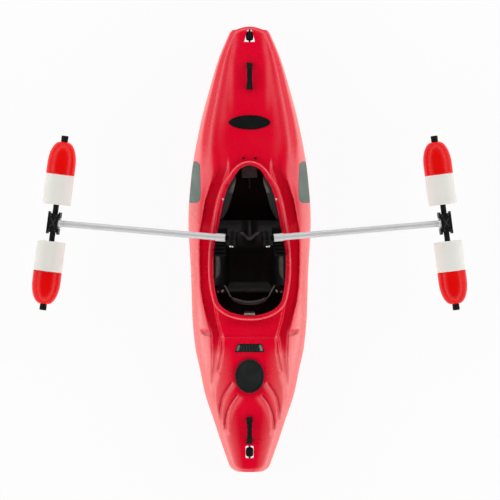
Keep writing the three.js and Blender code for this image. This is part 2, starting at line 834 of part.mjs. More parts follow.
// The housing, with the slot and pin holes of its lever and a tab that stands on the seat's wing
function ratchetHousing(frame, side) {
  const [wide, high] = [buckleWidth / 2, buckleHeight / 2];
  const slotWide = leverWidth / 2 + 2 * gap;
  const body = solidOf(box([gap, -wide, -high], [buckleLength, wide, high]).applyMatrix4(frame.matrix));
  const slot = solidOf(box(
    [buckleLength / 8, -slotWide, 0],
    [buckleLength + overrun, slotWide, high + overrun],
  ).applyMatrix4(frame.matrix));
  const pinHole = pinAt(leverPivot, leverPinDiameter / 2 + gap, buckleWidth + overrun);
  const holes = solidOf(pinHole.applyMatrix4(frame.matrix));
  const edge = side * seatWidth / 2;
  const reach = side * (seatWidth / 2 - buckleTabWidth);
  const low = bandMiddleHeight - high - buckleTabThickness;
  const seatRear = seatFront - seatLength;
  const tab = solidOf(box(
    [Math.min(reach, edge), seatRear + gap, low - buckleTabThickness],
    [Math.max(reach, edge), seatRear + buckleTabLength, low + 2 * buckleTabThickness],
  ));
  const housing = body.add(tab).subtract(slot).subtract(holes);
  const shifts = [[-side * gap, 0, gap], [0, -gap, 0], [side * gap, 0, gap]];
  return biggest(shifts.reduce((shape, shift) => shape.subtract(seatPan.translate(shift)), housing));
}

const leverPlateShare = 0.75; // of its length, in front of its barrel
const leverBarrelShare = 0.8; // of its thickness

function ratchetLever() {
  const [x, , z] = leverPivot;
  const half = leverThickness / 2;
  const tip = x - leverLength * leverPlateShare;
  const plate = box([tip, -leverWidth / 2, z - half], [x, leverWidth / 2, z + half]);
  const barrel = pinAt(leverPivot, leverThickness * leverBarrelShare, leverWidth);
  const pin = pinAt(leverPivot, leverPinDiameter / 2, buckleWidth - 2 * gap);
  return [plate, barrel, pin].map(solidOf).reduce((shape, piece) => shape.add(piece));
}

// A thigh brace: a hook that follows the cockpit's edge and dips inwards
const braceEndShare = 0.25; // of its reach, at its ends

function thighBrace(side) {
  const braceMiddle = cockpitFront - braceSetback;
  const rows = steps(braceMiddle - braceLength / 2, braceMiddle + braceLength / 2, 10);
  const sheet = (drop) => rows.map((y) => {
    const part = (y - braceMiddle) / (braceLength / 2);
    const reach = braceReach * lerp(1, braceEndShare, Math.abs(part) ** 3);
    return steps(0, 1, 4).map((t) => [
      side * (edgeAt(y) - 2 * gap - reach * t),
      y,
      rimHeight(y) - flankDrop - braceThickness - braceDrop * t * t - drop,
    ]);
  });
  return slab(sheet(braceThickness), sheet(0));
}

// A foot rail's frame: its inner face is the plane X = 0, and the rail runs along Y, as the boat's
// side does there
function railFrame(side) {
  const frame = new THREE.Group();
  const middle = lerp(cockpitFront, halfLength, railShare);
  const widths = [-1, 0, 1].map((end) => station(middle + end * railLength / 2).halfWidth);
  frame.position.set(side * (widths[1] - railInset), middle, railLift);
  frame.rotation.z = side * Math.atan2(widths[0] - widths[2], railLength);
  frame.updateMatrix();
  return frame;
}

function footRail(frame, side) {
  const [half, high] = [railLength / 2, railHeight / 2];
  const far = side * (railThickness + overrun);
  const block = box([Math.min(0, far), -half, -high], [Math.max(0, far), half, high]);
  return solidOf(block.applyMatrix4(frame.matrix)).intersect(insideSpace);
}

function footPedal(side) {
  const inwards = (distance) => -side * (gap + distance);
  const high = railHeight / 2;
  const outline = [
    [0, high], [0, -high * 0.6], [pedalWidth * 0.36, -pedalHeight / 2], [pedalWidth, -pedalHeight / 2],
    [pedalWidth, pedalHeight / 2], [pedalWidth * 0.3, pedalHeight / 2],
  ];
  const plate = prism(outline.map(([x, z]) => [inwards(x), z]), -pedalThickness / 2, pedalThickness / 2)
    .rotateX(Math.PI / 2);
  const [near, far] = [inwards(0), inwards(pedalThickness)];
  const shoe = box(
    [Math.min(near, far), -pedalShoeLength / 2, -high * 0.6],
    [Math.max(near, far), pedalShoeLength / 2, high],
  );
  return solidOf(plate).add(solidOf(shoe));
}

// Foam pillars, cut to the inside of the boat from upright blocks of width, rear, front and height
function pillar(blocks) {
  return blocks
    .map(([width, rear, front, top]) => box([-width / 2, rear, -overrun], [width / 2, front, top]))
    .map(solidOf)
    .reduce((shape, block) => shape.add(block))
    .intersect(insideSpace);
}

function bowPillar() {
  const front = lerp(cockpitFront, halfLength, bowPillarShare);
  const step = cockpitFront + bowPillarStepAhead;
  const back = cockpitFront - bowPillarOverlap;
  return pillar([
    [bowPillarWidth, step, front, hullDepth + overrun],
    [bowPillarWidth, back, step + overrun, bowPillarStepHeight],
    [bowFinWidth, cockpitFront - bowFinOverlap, back + overrun, bowFinHeight],
  ]);
}

function sternPillar() {
  const step = cockpitRear - sternPillarStepBehind;
  return pillar([
    [sternPillarWidth, lerp(cockpitRear, -halfLength, sternPillarShare), step, hullDepth + overrun],
    [sternPillarWidth, step - overrun, cockpitRear + sternPillarOverlap, sternPillarStepHeight],
  ]);
}

// The pivot of an arm, beside the cockpit's edge and above the rim
const pivotX = edgeAt(pivotAhead) - pivotInset;
const pivotZ = rimHeight(pivotAhead) + pivotAboveRim;

// The bracket inside the coaming: ribs across its top, its outer side along the cockpit's edge and
// its inner side flat against the yoke
function mountSaddle(side) {
  const rows = steps(saddleMiddle - saddleLength / 2, saddleMiddle + saddleLength / 2, 2 * saddleRibCount);
  const sweep = radians(armSweep);
  const base = pivotX + (yokeBaseReach + gap) / Math.cos(sweep);
  const inner = (y) => base - (y - pivotAhead) * Math.tan(sweep);
  const sheet = (height) => rows.map((y, i) => {
    const [near, far] = [inner(y), edgeAt(y) - 2 * gap];
    return steps(0, 1, 3).map((t) => [side * lerp(near, far, t), y, height(y, i)]);
  });
  const top = (y, i) => rimHeight(y) - saddleBelowRim - (i % 2 ? 0 : saddleRibHeight);
  return slab(sheet((y) => rimHeight(y) - saddleBelowRim - saddleHeight), sheet(top));
}

// An arm's plan frame stands at its pivot with X outwards; its arm frame is tilted down from that
function pivotFrame(side) {
  const frame = new THREE.Group();
  frame.position.set(side * pivotX, pivotAhead, pivotZ);
  frame.rotation.z = side > 0 ? radians(armSweep) : Math.PI - radians(armSweep);
  craft.add(frame);
  return frame;
}

function armFrame(parent) {
  const frame = new THREE.Group();
  frame.rotation.y = radians(armDroop);
  parent.add(frame);
  return frame;
}

// The hub's frame: X goes on outwards, Y lies along the rod
function hubFrame(parent, side) {
  const frame = new THREE.Group();
  frame.position.x = armReach;
  frame.rotation.z = side * radians(hubSkew);
  frame.updateMatrix();
  parent.add(frame);
  return frame;
}

// A yoke: two round ears on a block, with a slot for the knuckle and a bore for the bolt
function armYoke() {
  const top = -yokeEarRadius - yokeBaseClearance;
  const neck = yokeNeckWidth / 2;
  const start = Math.acos(neck / yokeEarRadius);
  const arc = steps(-start, Math.PI + start, 14).map((angle) => [
    Math.cos(angle) * yokeEarRadius, Math.sin(angle) * yokeEarRadius,
  ]);
  const outline = [
    ...arc, [-neck, top], [-yokeBaseReach, top], [-yokeBaseReach, top - yokeBaseHeight],
    [yokeBaseReach, top - yokeBaseHeight], [yokeBaseReach, top], [neck, top],
  ];
  const block = prism(outline, -yokeWidth / 2, yokeWidth / 2).rotateX(Math.PI / 2);
  const reach = yokeBaseReach + overrun;
  const slot = box(
    [-reach, -yokeSlotWidth / 2, -knuckleRadius - yokeBaseClearance],
    [reach, yokeSlotWidth / 2, yokeEarRadius + overrun],
  );
  const bore = rod(pivotBoltDiameter / 2 + gap, -yokeWidth, yokeWidth, smallSegments);
  return solidOf(block).subtract(solidOf(slot)).subtract(solidOf(bore));
}

function pivotBolt() {
  const [shank, head] = [pivotBoltDiameter / 2, pivotHeadDiameter / 2];
  const ear = yokeWidth / 2 + gap;
  const end = ear + pivotHeadThickness;
  return turned([
    [0, -end], [head, -end], [head, -ear], [shank, -ear], [shank, ear], [head, ear], [head, end], [0, end],
  ], smallSegments);
}

const plugRadius = tubeDiameter / 2 - tubeWall - gap;

// The knuckle: a round tongue, a disc that closes the arm's root and a plug inside the tube
function armKnuckle() {
  const thick = yokeSlotWidth - 2 * gap;
  const discStart = knuckleLength - gap - knuckleDiscThickness;
  const tongue = rod(knuckleRadius, -thick / 2, thick / 2);
  const neck = box([0, -thick / 2, -knuckleNeck / 2], [discStart + gap, thick / 2, knuckleNeck / 2]);
  const disc = alongX(rod(knuckleDiscDiameter / 2, discStart, knuckleLength - gap));
  const plug = alongX(rod(plugRadius, discStart, knuckleLength + plugLength));
  const bore = rod(pivotBoltDiameter / 2 + gap, -yokeWidth, yokeWidth, smallSegments);
  return [tongue, neck, disc, plug]
    .map(solidOf)
    .reduce((shape, piece) => shape.add(piece))
    .subtract(solidOf(bore));
}

// A pipe along X from one place to another
function pipe(outer, inner, from, to) {
  return alongX(turned([[inner, from], [outer, from], [outer, to], [inner, to], [inner, from]]));
}

const neckStart = -(hubWidth / 2 + gap + flangeThickness + neckLength);
const tubeEnd = armReach + neckStart - neckDiameter / 2 * Math.sin(radians(hubSkew)) - gap;

// The ring at the arm's outer end, in the hub's frame, with its spigot and the plug that turns to
// the arm's line
function armFlange(frame) {
  const face = -hubWidth / 2 - gap;
  const ring = alongX(turned([
    [0, neckStart], [neckDiameter / 2, neckStart], [neckDiameter / 2, face - flangeThickness],
    [flangeDiameter / 2, face - flangeThickness], [flangeDiameter / 2, face], [spigotDiameter / 2, face],
    [spigotDiameter / 2, face + spigotLength], [0, face + spigotLength],
  ]));
  const toHub = frame.matrix.clone().invert();
  const plug = alongX(rod(plugRadius, tubeEnd - plugLength, armReach + neckStart + neckLength / 2));
  return solidOf(ring).add(solidOf(plug.applyMatrix4(toHub)));
}

// A hub's body: a block with rounded corners, two lugs towards the arm, and bores for the rod and
// the spigot
function hubBody() {
  const [wide, long, corner] = [hubWidth / 2, hubLength / 2, hubCorner];
  const shape = new THREE.Shape();
  shape.moveTo(wide, corner - long);
  shape.lineTo(wide, long - corner);
  shape.absarc(wide - corner, long - corner, corner, 0, Math.PI / 2);
  shape.absarc(corner - wide, long - corner, corner, Math.PI / 2, Math.PI);
  shape.absarc(corner - wide, corner - long, corner, Math.PI, Math.PI * 3 / 2);
  shape.absarc(wide - corner, corner - long, corner, Math.PI * 3 / 2, Math.PI * 2);
  const block = new THREE.ExtrudeGeometry(shape, { depth: hubHeight, bevelEnabled: false, curveSegments: 3 })
    .translate(0, 0, -hubHeight / 2);
  const lug = (end) => {
    const [near, far] = [end * lugSpace / 2, end * lugLength / 2];
    return solidOf(box(
      [-wide - lugThickness, Math.min(near, far), -lugHeight / 2],
      [-wide + lugThickness / 4, Math.max(near, far), lugHeight / 2],
    ));
  };
  const rodBore = rod(rodDiameter / 2 + gap, -hubLength, hubLength);
  const spigotBore = alongX(rod(spigotDiameter / 2 + gap, -hubWidth, spigotLength + gap - wide));
  return solidOf(block).add(lug(1)).add(lug(-1)).subtract(solidOf(rodBore)).subtract(solidOf(spigotBore));
}

function hubPlate() {
  const near = hubWidth / 2 + gap;
  return box([near, -lugLength / 2, -lugHeight / 2], [near + lugThickness, lugLength / 2, lugHeight / 2]);
}

function axleRod() {
  const outline = Array.from({ length: 4 * rodFlutes }, (_, k) => {
    const angle = (k / (4 * rodFlutes)) * Math.PI * 2;
    const radius = rodDiameter / 2 - (k % 4 < 2 ? 0 : rodFluteDepth);
    return [Math.cos(angle) * radius, Math.sin(angle) * radius];
  });
  return prism(outline, -rodLength / 2, rodLength / 2).rotateX(Math.PI / 2);
}

// A float's halves, turned about the rod, with the hub at Y = 0
const floatBore = rodDiameter / 2 + rodClearance;
const floatRadius = floatDiameter / 2;
const floatJoint = floatBase + floatShellLength;
const floatEnd = floatBase + floatLength;

function floatShell() {
  const inner = floatRadius - floatWall;
  const edge = floatRadius - floatEdgeRadius;
  const rounded = steps(0, Math.PI / 2, 3).map((angle) => [
    edge + Math.sin(angle) * floatEdgeRadius, floatBase + (1 - Math.cos(angle)) * floatEdgeRadius,
  ]);
  return turned([
    [floatBore, floatBase], ...rounded, [floatRadius, floatJoint], [inner, floatJoint],
    [inner, floatBase + floatEdgeRadius], [edge, floatBase + floatWall], [floatBore, floatBase + floatWall],
    [floatBore, floatBase],
  ]);
}

const domePowers = [2.2, 0.55];
const domeTipShare = 0.6; // of its wall, at its tip

function floatNose() {
  const dome = (wall, count) => steps(0, 1, count).map((t) => {
    const bulge = (1 - t ** domePowers[0]) ** domePowers[1];
    return [
      lerp(floatTipDiameter / 2, floatRadius, bulge) - wall * lerp(1, domeTipShare, t),
      floatEnd - floatDomeLength + floatDomeLength * t - wall * t,
    ];
  });
  const start = floatJoint + gap;
  return turned([
    [floatRadius - floatWall, start], [floatRadius, start], ...dome(0, 5), [floatBore, floatEnd],
    [floatBore, floatEnd - floatWall], ...dome(floatWall, 3).reverse(), [floatRadius - floatWall, start],
  ]);
}

const knobCornerShare = 0.08; // of its diameter

function rodKnob() {
  const start = floatEnd + gap;
  const end = start + knobLength;
  const [radius, bore, bottom] = [knobDiameter / 2, rodDiameter / 2 + gap, rodLength / 2 + gap];
  const corner = knobDiameter * knobCornerShare;
  return turned([
    [0, bottom], [bore, bottom], [bore, start], [radius - corner, start], [radius, start + corner],
    [radius, end - corner], [radius - corner, end], [0, end],
  ]);
}

// Everything on one side, from the bracket in the cockpit to the floats
function outrigger(name, side) {
  add(craft, `mount_saddle_${name}`, mountSaddle(side), rubber(black));
  const pivot = pivotFrame(side);
  add(pivot, `arm_yoke_${name}`, armYoke(), plastic(softBlack));
  add(pivot, `pivot_bolt_${name}`, pivotBolt(), metal(silver));
  const arm = armFrame(pivot);
  add(arm, `arm_knuckle_${name}`, armKnuckle(), plastic(softBlack));
  const tube = tubeDiameter / 2;
  const sleeve = pipe(tube + gap + sleeveWall, tube + gap, knuckleLength, knuckleLength + sleeveLength);
  add(arm, `arm_sleeve_${name}`, sleeve, metal(silver));
  add(arm, `arm_tube_${name}`, pipe(tube, tube - tubeWall, knuckleLength, tubeEnd), metal(silver));
  const hub = hubFrame(arm, side);
  add(hub, `arm_flange_${name}`, armFlange(hub), metal(silver));
  add(hub, `hub_body_${name}`, hubBody(), plastic(black));
  add(hub, `hub_plate_${name}`, hubPlate(), plastic(black));
  add(hub, `axle_rod_${name}`, axleRod(), plastic(black));
  [['front', side], ['rear', -side]].forEach(([end, way]) => {
    const outwards = new THREE.Group();
    outwards.rotation.z = way > 0 ? 0 : Math.PI;
    hub.add(outwards);
    add(outwards, `float_${end}_shell_${name}`, floatShell(), plastic(white));
    add(outwards, `float_${end}_nose_${name}`, floatNose(), plastic(floatRed));
    add(outwards, `rod_knob_${end}_${name}`, rodKnob(), rubber(black));
  });
}

const sides = [['left', -1], ['right', 1]];

add(craft, 'hull_shell', hullShell(), plastic(red));
add(craft, 'deck_shell', deckShell(), plastic(red));
add(craft, 'bow_deck_pad', deckPad(), rubber(black));
add(craft, 'hatch_cover', hatchCover(), rubber(softBlack));
add(craft, 'rear_deck_strip', deckStrip(), rubber(softBlack));
add(craft, 'bow_handle', handle(bowHandleY), rubber(black));
add(craft, 'stern_handle', handle(sternHandleY), rubber(black));
add(craft, 'bow_grab_toggle', grabToggle(bowHoleY), rubber(black));
add(craft, 'stern_grab_toggle', grabToggle(sternHoleY), rubber(black));
add(craft, 'bow_pillar', bowPillar(), rubber(foamGrey));
add(craft, 'stern_pillar', sternPillar(), rubber(foamGrey));
add(craft, 'seat_pan', seatPan, plastic(black));
add(craft, 'backband', backband(), rubber(softBlack));

sides.forEach(([name, side]) => {
  add(craft, `side_patch_${name}`, sidePatch(side), rubber(patchGrey));
  add(craft, `hip_pad_${name}`, hipPad(side), rubber(foamGrey));
  add(craft, `thigh_brace_${name}`, thighBrace(side), plastic(foamGrey));
  const ratchet = ratchetFrame(side);
  craft.add(ratchet);
  add(craft, `ratchet_buckle_${name}`, ratchetHousing(ratchet, side), plastic(black));
  add(ratchet, `ratchet_lever_${name}`, ratchetLever(), metal(silver));
  const rail = railFrame(side);
  craft.add(rail);
  add(craft, `foot_rail_${name}`, footRail(rail, side), metal(silver));
  add(rail, `foot_pedal_${name}`, footPedal(side), plastic(black));
  outrigger(name, side);
});

export default craft;
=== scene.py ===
import json
import math

import bmesh
import bpy
import numpy as np
from mathutils import Matrix, Vector


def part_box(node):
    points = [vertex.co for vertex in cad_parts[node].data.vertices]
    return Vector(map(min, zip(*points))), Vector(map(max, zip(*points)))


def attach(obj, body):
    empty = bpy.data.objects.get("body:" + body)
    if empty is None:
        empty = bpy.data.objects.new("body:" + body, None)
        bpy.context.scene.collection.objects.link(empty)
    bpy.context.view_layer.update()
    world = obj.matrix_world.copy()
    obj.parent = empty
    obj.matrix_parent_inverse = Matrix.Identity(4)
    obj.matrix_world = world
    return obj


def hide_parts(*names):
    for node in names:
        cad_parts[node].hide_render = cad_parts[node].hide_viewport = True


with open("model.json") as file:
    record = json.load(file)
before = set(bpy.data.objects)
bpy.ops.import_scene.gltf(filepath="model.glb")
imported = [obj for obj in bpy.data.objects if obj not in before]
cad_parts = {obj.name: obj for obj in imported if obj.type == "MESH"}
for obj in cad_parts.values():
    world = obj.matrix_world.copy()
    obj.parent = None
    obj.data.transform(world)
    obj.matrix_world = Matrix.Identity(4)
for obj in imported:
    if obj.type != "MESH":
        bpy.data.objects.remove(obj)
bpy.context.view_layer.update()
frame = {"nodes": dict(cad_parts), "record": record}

# ---------------------------------------------------------------- sizes, in metres

HALF_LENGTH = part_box("deck_shell")[1].y
HALF_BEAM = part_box("deck_shell")[1].x
HULL_DEPTH = 0.36
HULL_WALL = 0.006
END_RADIUS = 0.04
END_WALL = 0.028
END_FACE_SHARE = 0.5
GROOVE_DEPTH = 0.011
CREST_RISE = 0.005
RIDGE_RISE = 0.006
DECK_POWER = 2.6
DECK_FALL = 0.62
ROW_PITCH = 0.006

COCKPIT_LENGTH = 0.874
COCKPIT_WIDTH = 0.424
COCKPIT_FRONT = 0.49
RIM_FRONT_HEIGHT = 0.38
RIM_REAR_HEIGHT = 0.325
SKIRT_DEPTH = 0.094
SKIRT_WALL = 0.007
FLANK_DROP = 0.015

ARM_REACH = 1.064
ARM_SWEEP = math.radians(5)
ARM_DROOP = math.radians(11)
HUB_SKEW = math.radians(2.4)
TUBE_RADIUS = 0.019
ROD_RADIUS = 0.0165
ROD_HALF_LENGTH, ROD_EASED = 0.4944, 0.4936
FLOAT_RADIUS = 0.0836
FLOAT_BASE = 0.108
FLOAT_JOINT = 0.285
FLOAT_END = 0.477

CAMERA_HEIGHT = 40
CAMERA_PLACE = (0.0025, -0.003)
SENSOR_WIDTH = 36
VIEW_WIDTH, VIEW_LEVEL = 2.9215, 0.2  # what the picture takes in across, at a height over the floor
BAND_LIGHT = 4.6
CEILING_LIGHT = 0.03
HORIZON_SHARE = 0.2
FLOOR_REACH = 14
FLOOR_GLOW = 0.92

TIGHT = 0.0004  # by which a piece stays clear of its neighbour
BELOW, ABOVE = -0.02, 0.4  # heights clear of the boat, for what cuts right through it
LEFT_RIGHT = (("left", -1), ("right", 1))

# The boat's lines: places from -1 at the stern to 1 at the bow, and shares there
BEAM_SHARES = (
    (-1, 0.29), (-0.865, 0.465), (-0.757, 0.596), (-0.649, 0.727), (-0.542, 0.808), (-0.434, 0.89), (-0.3, 0.935),
    (-0.11, 0.957), (0.133, 1), (0.321, 0.955), (0.537, 0.824), (0.753, 0.62), (0.861, 0.498), (0.97, 0.33), (1, 0.28),
)
CROWN_SHARES = (
    (-1, 0.7), (-0.8, 0.755), (-0.6, 0.8), (-0.43, 0.825), (-0.31, 0.82), (0, 0.93), (0.38, 1), (0.6, 0.995),
    (0.8, 0.965), (1, 0.9),
)
SEAM_SHARES = ((-1, 0.57), (-0.6, 0.52), (0, 0.5), (0.5, 0.57), (1, 0.75))
KEEL_SHARES = ((-1, 0.33), (-0.75, 0.16), (-0.5, 0.045), (-0.3, 0), (0.34, 0), (0.55, 0.06), (0.78, 0.24), (1, 0.54))
CREST_SHARES = (
    (-1, 0.3), (-0.62, 0.5), (-0.47, 0.47), (-0.31, 0.5), (-0.2, 0.63), (0.05, 0.57), (0.22, 0.5), (0.389, 0.35),
    (0.47, 0.37), (0.6, 0.43), (0.8, 0.41), (1, 0.38),
)
GROOVE_SHARES = (
    (-1, 0.6), (-0.62, 0.78), (-0.47, 0.66), (-0.38, 0.61), (-0.24, 0.73), (-0.02, 0.755), (0.088, 0.72),
    (0.222, 0.645), (0.357, 0.5), (0.515, 0.6), (0.71, 0.62), (1, 0.66),
)
RIDGE_SHARES = (
    (-1, 0.75), (-0.62, 0.86), (-0.47, 0.72), (-0.38, 0.7), (-0.24, 0.82), (-0.02, 0.83), (0.16, 0.82), (0.33, 0.63),
    (0.515, 0.76), (0.71, 0.8), (1, 0.84),
)
GROOVE_DEPTH_SHARES = (
    (-1, 0), (-0.64, 0), (-0.5, 0.8), (-0.3, 1), (0.1, 1), (0.34, 0.7), (0.42, 0.3), (0.52, 0.24), (0.88, 0.22),
    (0.97, 0),
)
# The sunk band round the cockpit: places along the boat and the half widths of its inner and its outer edge there
BAND_PLACES = (-0.7625, -0.61, -0.494, -0.4, -0.307, -0.213, -0.026, 0.114, 0.289, 0.4645, 0.56)
BAND_INNER = (0.212, 0.187, 0.169, 0.194, 0.21, 0.226, 0.232, 0.2255, 0.19, 0.1285, 0.128)
BAND_OUTER = (0.2215, 0.219, 0.2255, 0.251, 0.2746, 0.2875, 0.2925, 0.29, 0.259, 0.196, 0.176)
BAND_DEPTH = 0.009
RIDGE_FADE = 0.35  # the share of the way from a ridge to the boat's edge over which the ridge dies out
# The bottom's section: the share of the half width, and the share of the way from the seam down to the keel
HULL_SECTION_SHARES = ((0, 1), (0.62, 1), (0.73, 0.97), (0.84, 0.82), (0.93, 0.55), (0.985, 0.25), (1, 0))
# Half of the cockpit's edge: the share of its half width, and the share of the way back from its front
COCKPIT_SHARES = (
    (0, 0), (0.25, 0.022), (0.459, 0.09), (0.6, 0.15), (0.72, 0.245), (0.87, 0.432), (0.973, 0.563), (1, 0.66),
    (0.985, 0.76), (0.925, 0.855), (0.84, 0.92), (0.62, 0.967), (0.32, 0.993), (0, 1),
)

# ---------------------------------------------------------------- materials


def srgb(red, green, blue):
    """A colour as the eye names it, 0 to 255, as the shader wants it."""
    values = [c / 255 for c in (red, green, blue)]
    return (*[v / 12.92 if v <= 0.04045 else ((v + 0.055) / 1.055) ** 2.4 for v in values], 1)


def node(tree, kind, **settings):
    made = tree.nodes.new("ShaderNode" + kind)
    for key, value in settings.items():
        setattr(made, key, value)
    return made


def combined(tree, operation, *sources):
    """Two numbers joined by a Math node."""
    made = node(tree, "Math", operation=operation)
    for source, socket in zip(sources, made.inputs):
        tree.links.new(source, socket)
    return made.outputs["Value"]


def texture(tree, kind, scale, stretch=(1, 1, 1), settings=(), **inputs):
    """A procedural texture in the frame's coordinates, stretched along the axes."""
    place = node(tree, "TexCoord")
    mapping = node(tree, "Mapping")
    mapping.inputs["Scale"].default_value = stretch
    made = node(tree, "Tex" + kind, **dict(settings))
    made.inputs["Scale"].default_value = scale
    for key, value in inputs.items():
        made.inputs[key].default_value = value
    tree.links.new(place.outputs["Object"], mapping.inputs["Vector"])
    tree.links.new(mapping.outputs["Vector"], made.inputs["Vector"])
    return made.outputs["Distance" if kind == "Voronoi" else "Fac"]


def ramp(tree, source, low, high, start=0.0, end=1.0):
    """A number remapped from start..end to low..high."""
    made = node(tree, "MapRange")
    for key, value in (("From Min", start), ("From Max", end), ("To Min", low), ("To Max", high)):
        made.inputs[key].default_value = value
    tree.links.new(source, made.inputs["Value"])
    return made.outputs["Result"]


def blended(tree, share, first, second):
    """A colour between two others; each is a constant or another node's colour."""
    made = node(tree, "Mix", data_type="RGBA")
    tree.links.new(share, made.inputs["Factor"])
    for socket, colour in ((made.inputs[6], first), (made.inputs[7], second)):
        if isinstance(colour, tuple):
            socket.default_value = colour
        else:
            tree.links.new(colour, socket)
    return made.outputs[2]


def bump(tree, shader, *layers):
    """Stacks height textures: each layer is a source and how deep it goes, in metres."""
    last = None
    for source, depth in layers:
        made = node(tree, "Bump")
        made.inputs["Distance"].default_value = depth
        made.inputs["Strength"].default_value = 1
        tree.links.new(source, made.inputs["Height"])
        if last:
            tree.links.new(last, made.inputs["Normal"])
        last = made.outputs["Normal"]
    tree.links.new(last, shader.inputs["Normal"])


def wired(tree, shader, colour, rough, *layers):
    """Links a shader's colour, roughness and bumps."""
    tree.links.new(colour, shader.inputs["Base Color"])
    tree.links.new(rough, shader.inputs["Roughness"])
    bump(tree, shader, *layers)


def look(name, **sockets):
    """A new material, its tree and its shader, with constant values set on the shader's own sockets."""
    made = bpy.data.materials.new(name)
    made.use_nodes = True
    shader = made.node_tree.nodes["Principled BSDF"]
    for key, value in sockets.items():
        shader.inputs[key.replace("_", " ").title().replace("Ior", "IOR")].default_value = value
    return made, made.node_tree, shader


def moulded_shell(name, main, deep, pale, rough=0.3, crease_shade=None, painted_sheen=None, cloudy=1.0, **sockets):
    """Glossy rotomoulded plastic: cloudy colour, faint orange peel and patches that are a little duller."""
    made, tree, shader = look(name, **sockets)
    cloud = texture(tree, "Noise", 2.2, Detail=3.0)
    speck = texture(tree, "Noise", 150, Detail=2.0)
    colour = blended(tree, ramp(tree, cloud, 0, cloudy, 0.38, 0.66), main, deep)
    colour = blended(tree, ramp(tree, speck, 0, 0.22 * cloudy, 0.62, 0.8), colour, pale)
    # Marks read by name paint shade into the creases, and pale highlights and reflections onto crests and shoulders
    for mark_name, tint in (("painted_sheen", painted_sheen), ("crease_shade", crease_shade)):
        if tint:
            mark = node(tree, "Attribute", attribute_name=mark_name)
            colour = blended(tree, mark.outputs["Fac"], colour, tint)
    handled = texture(tree, "Noise", 7, Detail=6.0, Roughness=0.6)
    peel = texture(tree, "Noise", 230, Detail=1.0)
    wave = texture(tree, "Noise", 9, Detail=1.0)
    dull = ramp(tree, handled, rough - 0.04, rough + 0.1, 0.4, 0.72)
    wired(tree, shader, colour, dull, (wave, 0.0003), (peel, 0.00006))
    return made


def grained(name, main, pale, rough, grain=900, depth=0.00022, **sockets):
    """Textured moulding or rubber: a pebbled grain, worn a little paler in patches."""
    made, tree, shader = look(name, **sockets)
    pebble = texture(tree, "Voronoi", grain)
    patch = texture(tree, "Noise", 13, Detail=5.0)
    colour = blended(tree, ramp(tree, patch, 0, 1, 0.42, 0.75), main, pale)
    wired(tree, shader, colour, ramp(tree, patch, rough - 0.07, rough + 0.1), (pebble, depth), (patch, 0.0004))
    return made


def foam(name, main, pale):
    """Closed-cell foam with small pits."""
    made, tree, shader = look(name)
    cells = texture(tree, "Voronoi", 520)
    patch = texture(tree, "Noise", 30, Detail=6.0)
    colour = blended(tree, ramp(tree, patch, 0, 1, 0.35, 0.7), main, pale)
    wired(tree, shader, colour, ramp(tree, patch, 0.8, 0.98), (cells, 0.0006), (patch, 0.0012))
    return made


def woven(name, main, thread, pitch=0.0016):
    """Webbing or pack cloth: two crossed sets of threads."""
    made, tree, shader = look(name, sheen_weight=0.25)
    waves = [texture(tree, "Wave", 1, [d / pitch * 0.16 for d in direction],
                     [("bands_direction", "DIAGONAL")], Distortion=0.6)
             for direction in ((1, 0, 0.35), (0, 1, 0.9))]
    weave = combined(tree, "MULTIPLY", *waves)
    wired(tree, shader, blended(tree, weave, main, thread), ramp(tree, weave, 0.9, 0.7), (weave, 0.0005))
    return made


def brushed(name, main, pale, rough, stretch, metal=1.0):
    """Metal brushed along the axis with the small stretch."""
    made, tree, shader = look(name, metallic=metal)
    grain = texture(tree, "Noise", 60, stretch=stretch, Detail=4.0, Roughness=0.65)
    patch = texture(tree, "Noise", 9, Detail=4.0)
    mixed = combined(tree, "MULTIPLY", ramp(tree, grain, 0.8, 1.2), ramp(tree, patch, rough * 0.8, rough * 1.3))
    wired(tree, shader, blended(tree, grain, main, pale), mixed, (grain, 0.00006))
    return made


# The pale tint paints highlights and reflections onto the red, and the crease tint paints shade
RED = moulded_shell(
    "boat_red", srgb(228, 1, 43), srgb(214, 0, 34), srgb(234, 10, 50), rough=0.27, cloudy=0.45,
    crease_shade=srgb(150, 0, 20), painted_sheen=srgb(250, 138, 136), specular_ior_level=0.38, coat_weight=0.22,
    coat_roughness=0.14, sheen_weight=0.03, sheen_roughness=0.3,
)
# Painted shade: a near-black red for the boat's inner faces, whose plastic is the same red but lies in shade
SHADED_INSIDE_RED = moulded_shell("boat_inside_painted_shade", srgb(52, 8, 14), srgb(34, 5, 9), srgb(70, 14, 20), rough=0.5)
FLOAT_RED = moulded_shell(
    "float_red", srgb(232, 14, 12), srgb(218, 8, 10), srgb(238, 28, 22), rough=0.24, specular_ior_level=0.16,
)
FLOAT_WHITE = moulded_shell(
    "float_white", srgb(229, 227, 221), srgb(223, 221, 214), srgb(233, 231, 227), rough=0.34,
    specular_ior_level=0.12,
)
BLACK = grained("moulded_black", srgb(8, 8, 9), srgb(18, 18, 19), 0.45, specular_ior_level=0.2)
MOUNT_BLACK = grained("mount_black", srgb(5, 5, 6), srgb(12, 12, 12), 0.5, specular_ior_level=0.12)
SEAT_BLACK = grained("seat_black", srgb(41, 43, 45), srgb(53, 55, 57), 0.42, grain=420, depth=0.0004)
RUBBER = grained("rubber_black", srgb(8, 9, 9), srgb(16, 18, 18), 0.62, grain=700, specular_ior_level=0.15)
RIB_GREY = grained("rib_grey", srgb(52, 57, 54), srgb(66, 72, 68), 0.66, grain=700, specular_ior_level=0.15)
HATCH_RUBBER = grained(
    "hatch_rubber", srgb(24, 27, 27), srgb(32, 36, 35), 0.62, grain=620, depth=0.00016, specular_ior_level=0.15,
)
GREY_RUBBER = grained("patch_grey", srgb(108, 120, 114), srgb(122, 133, 127), 0.8, grain=300, depth=0.0007)
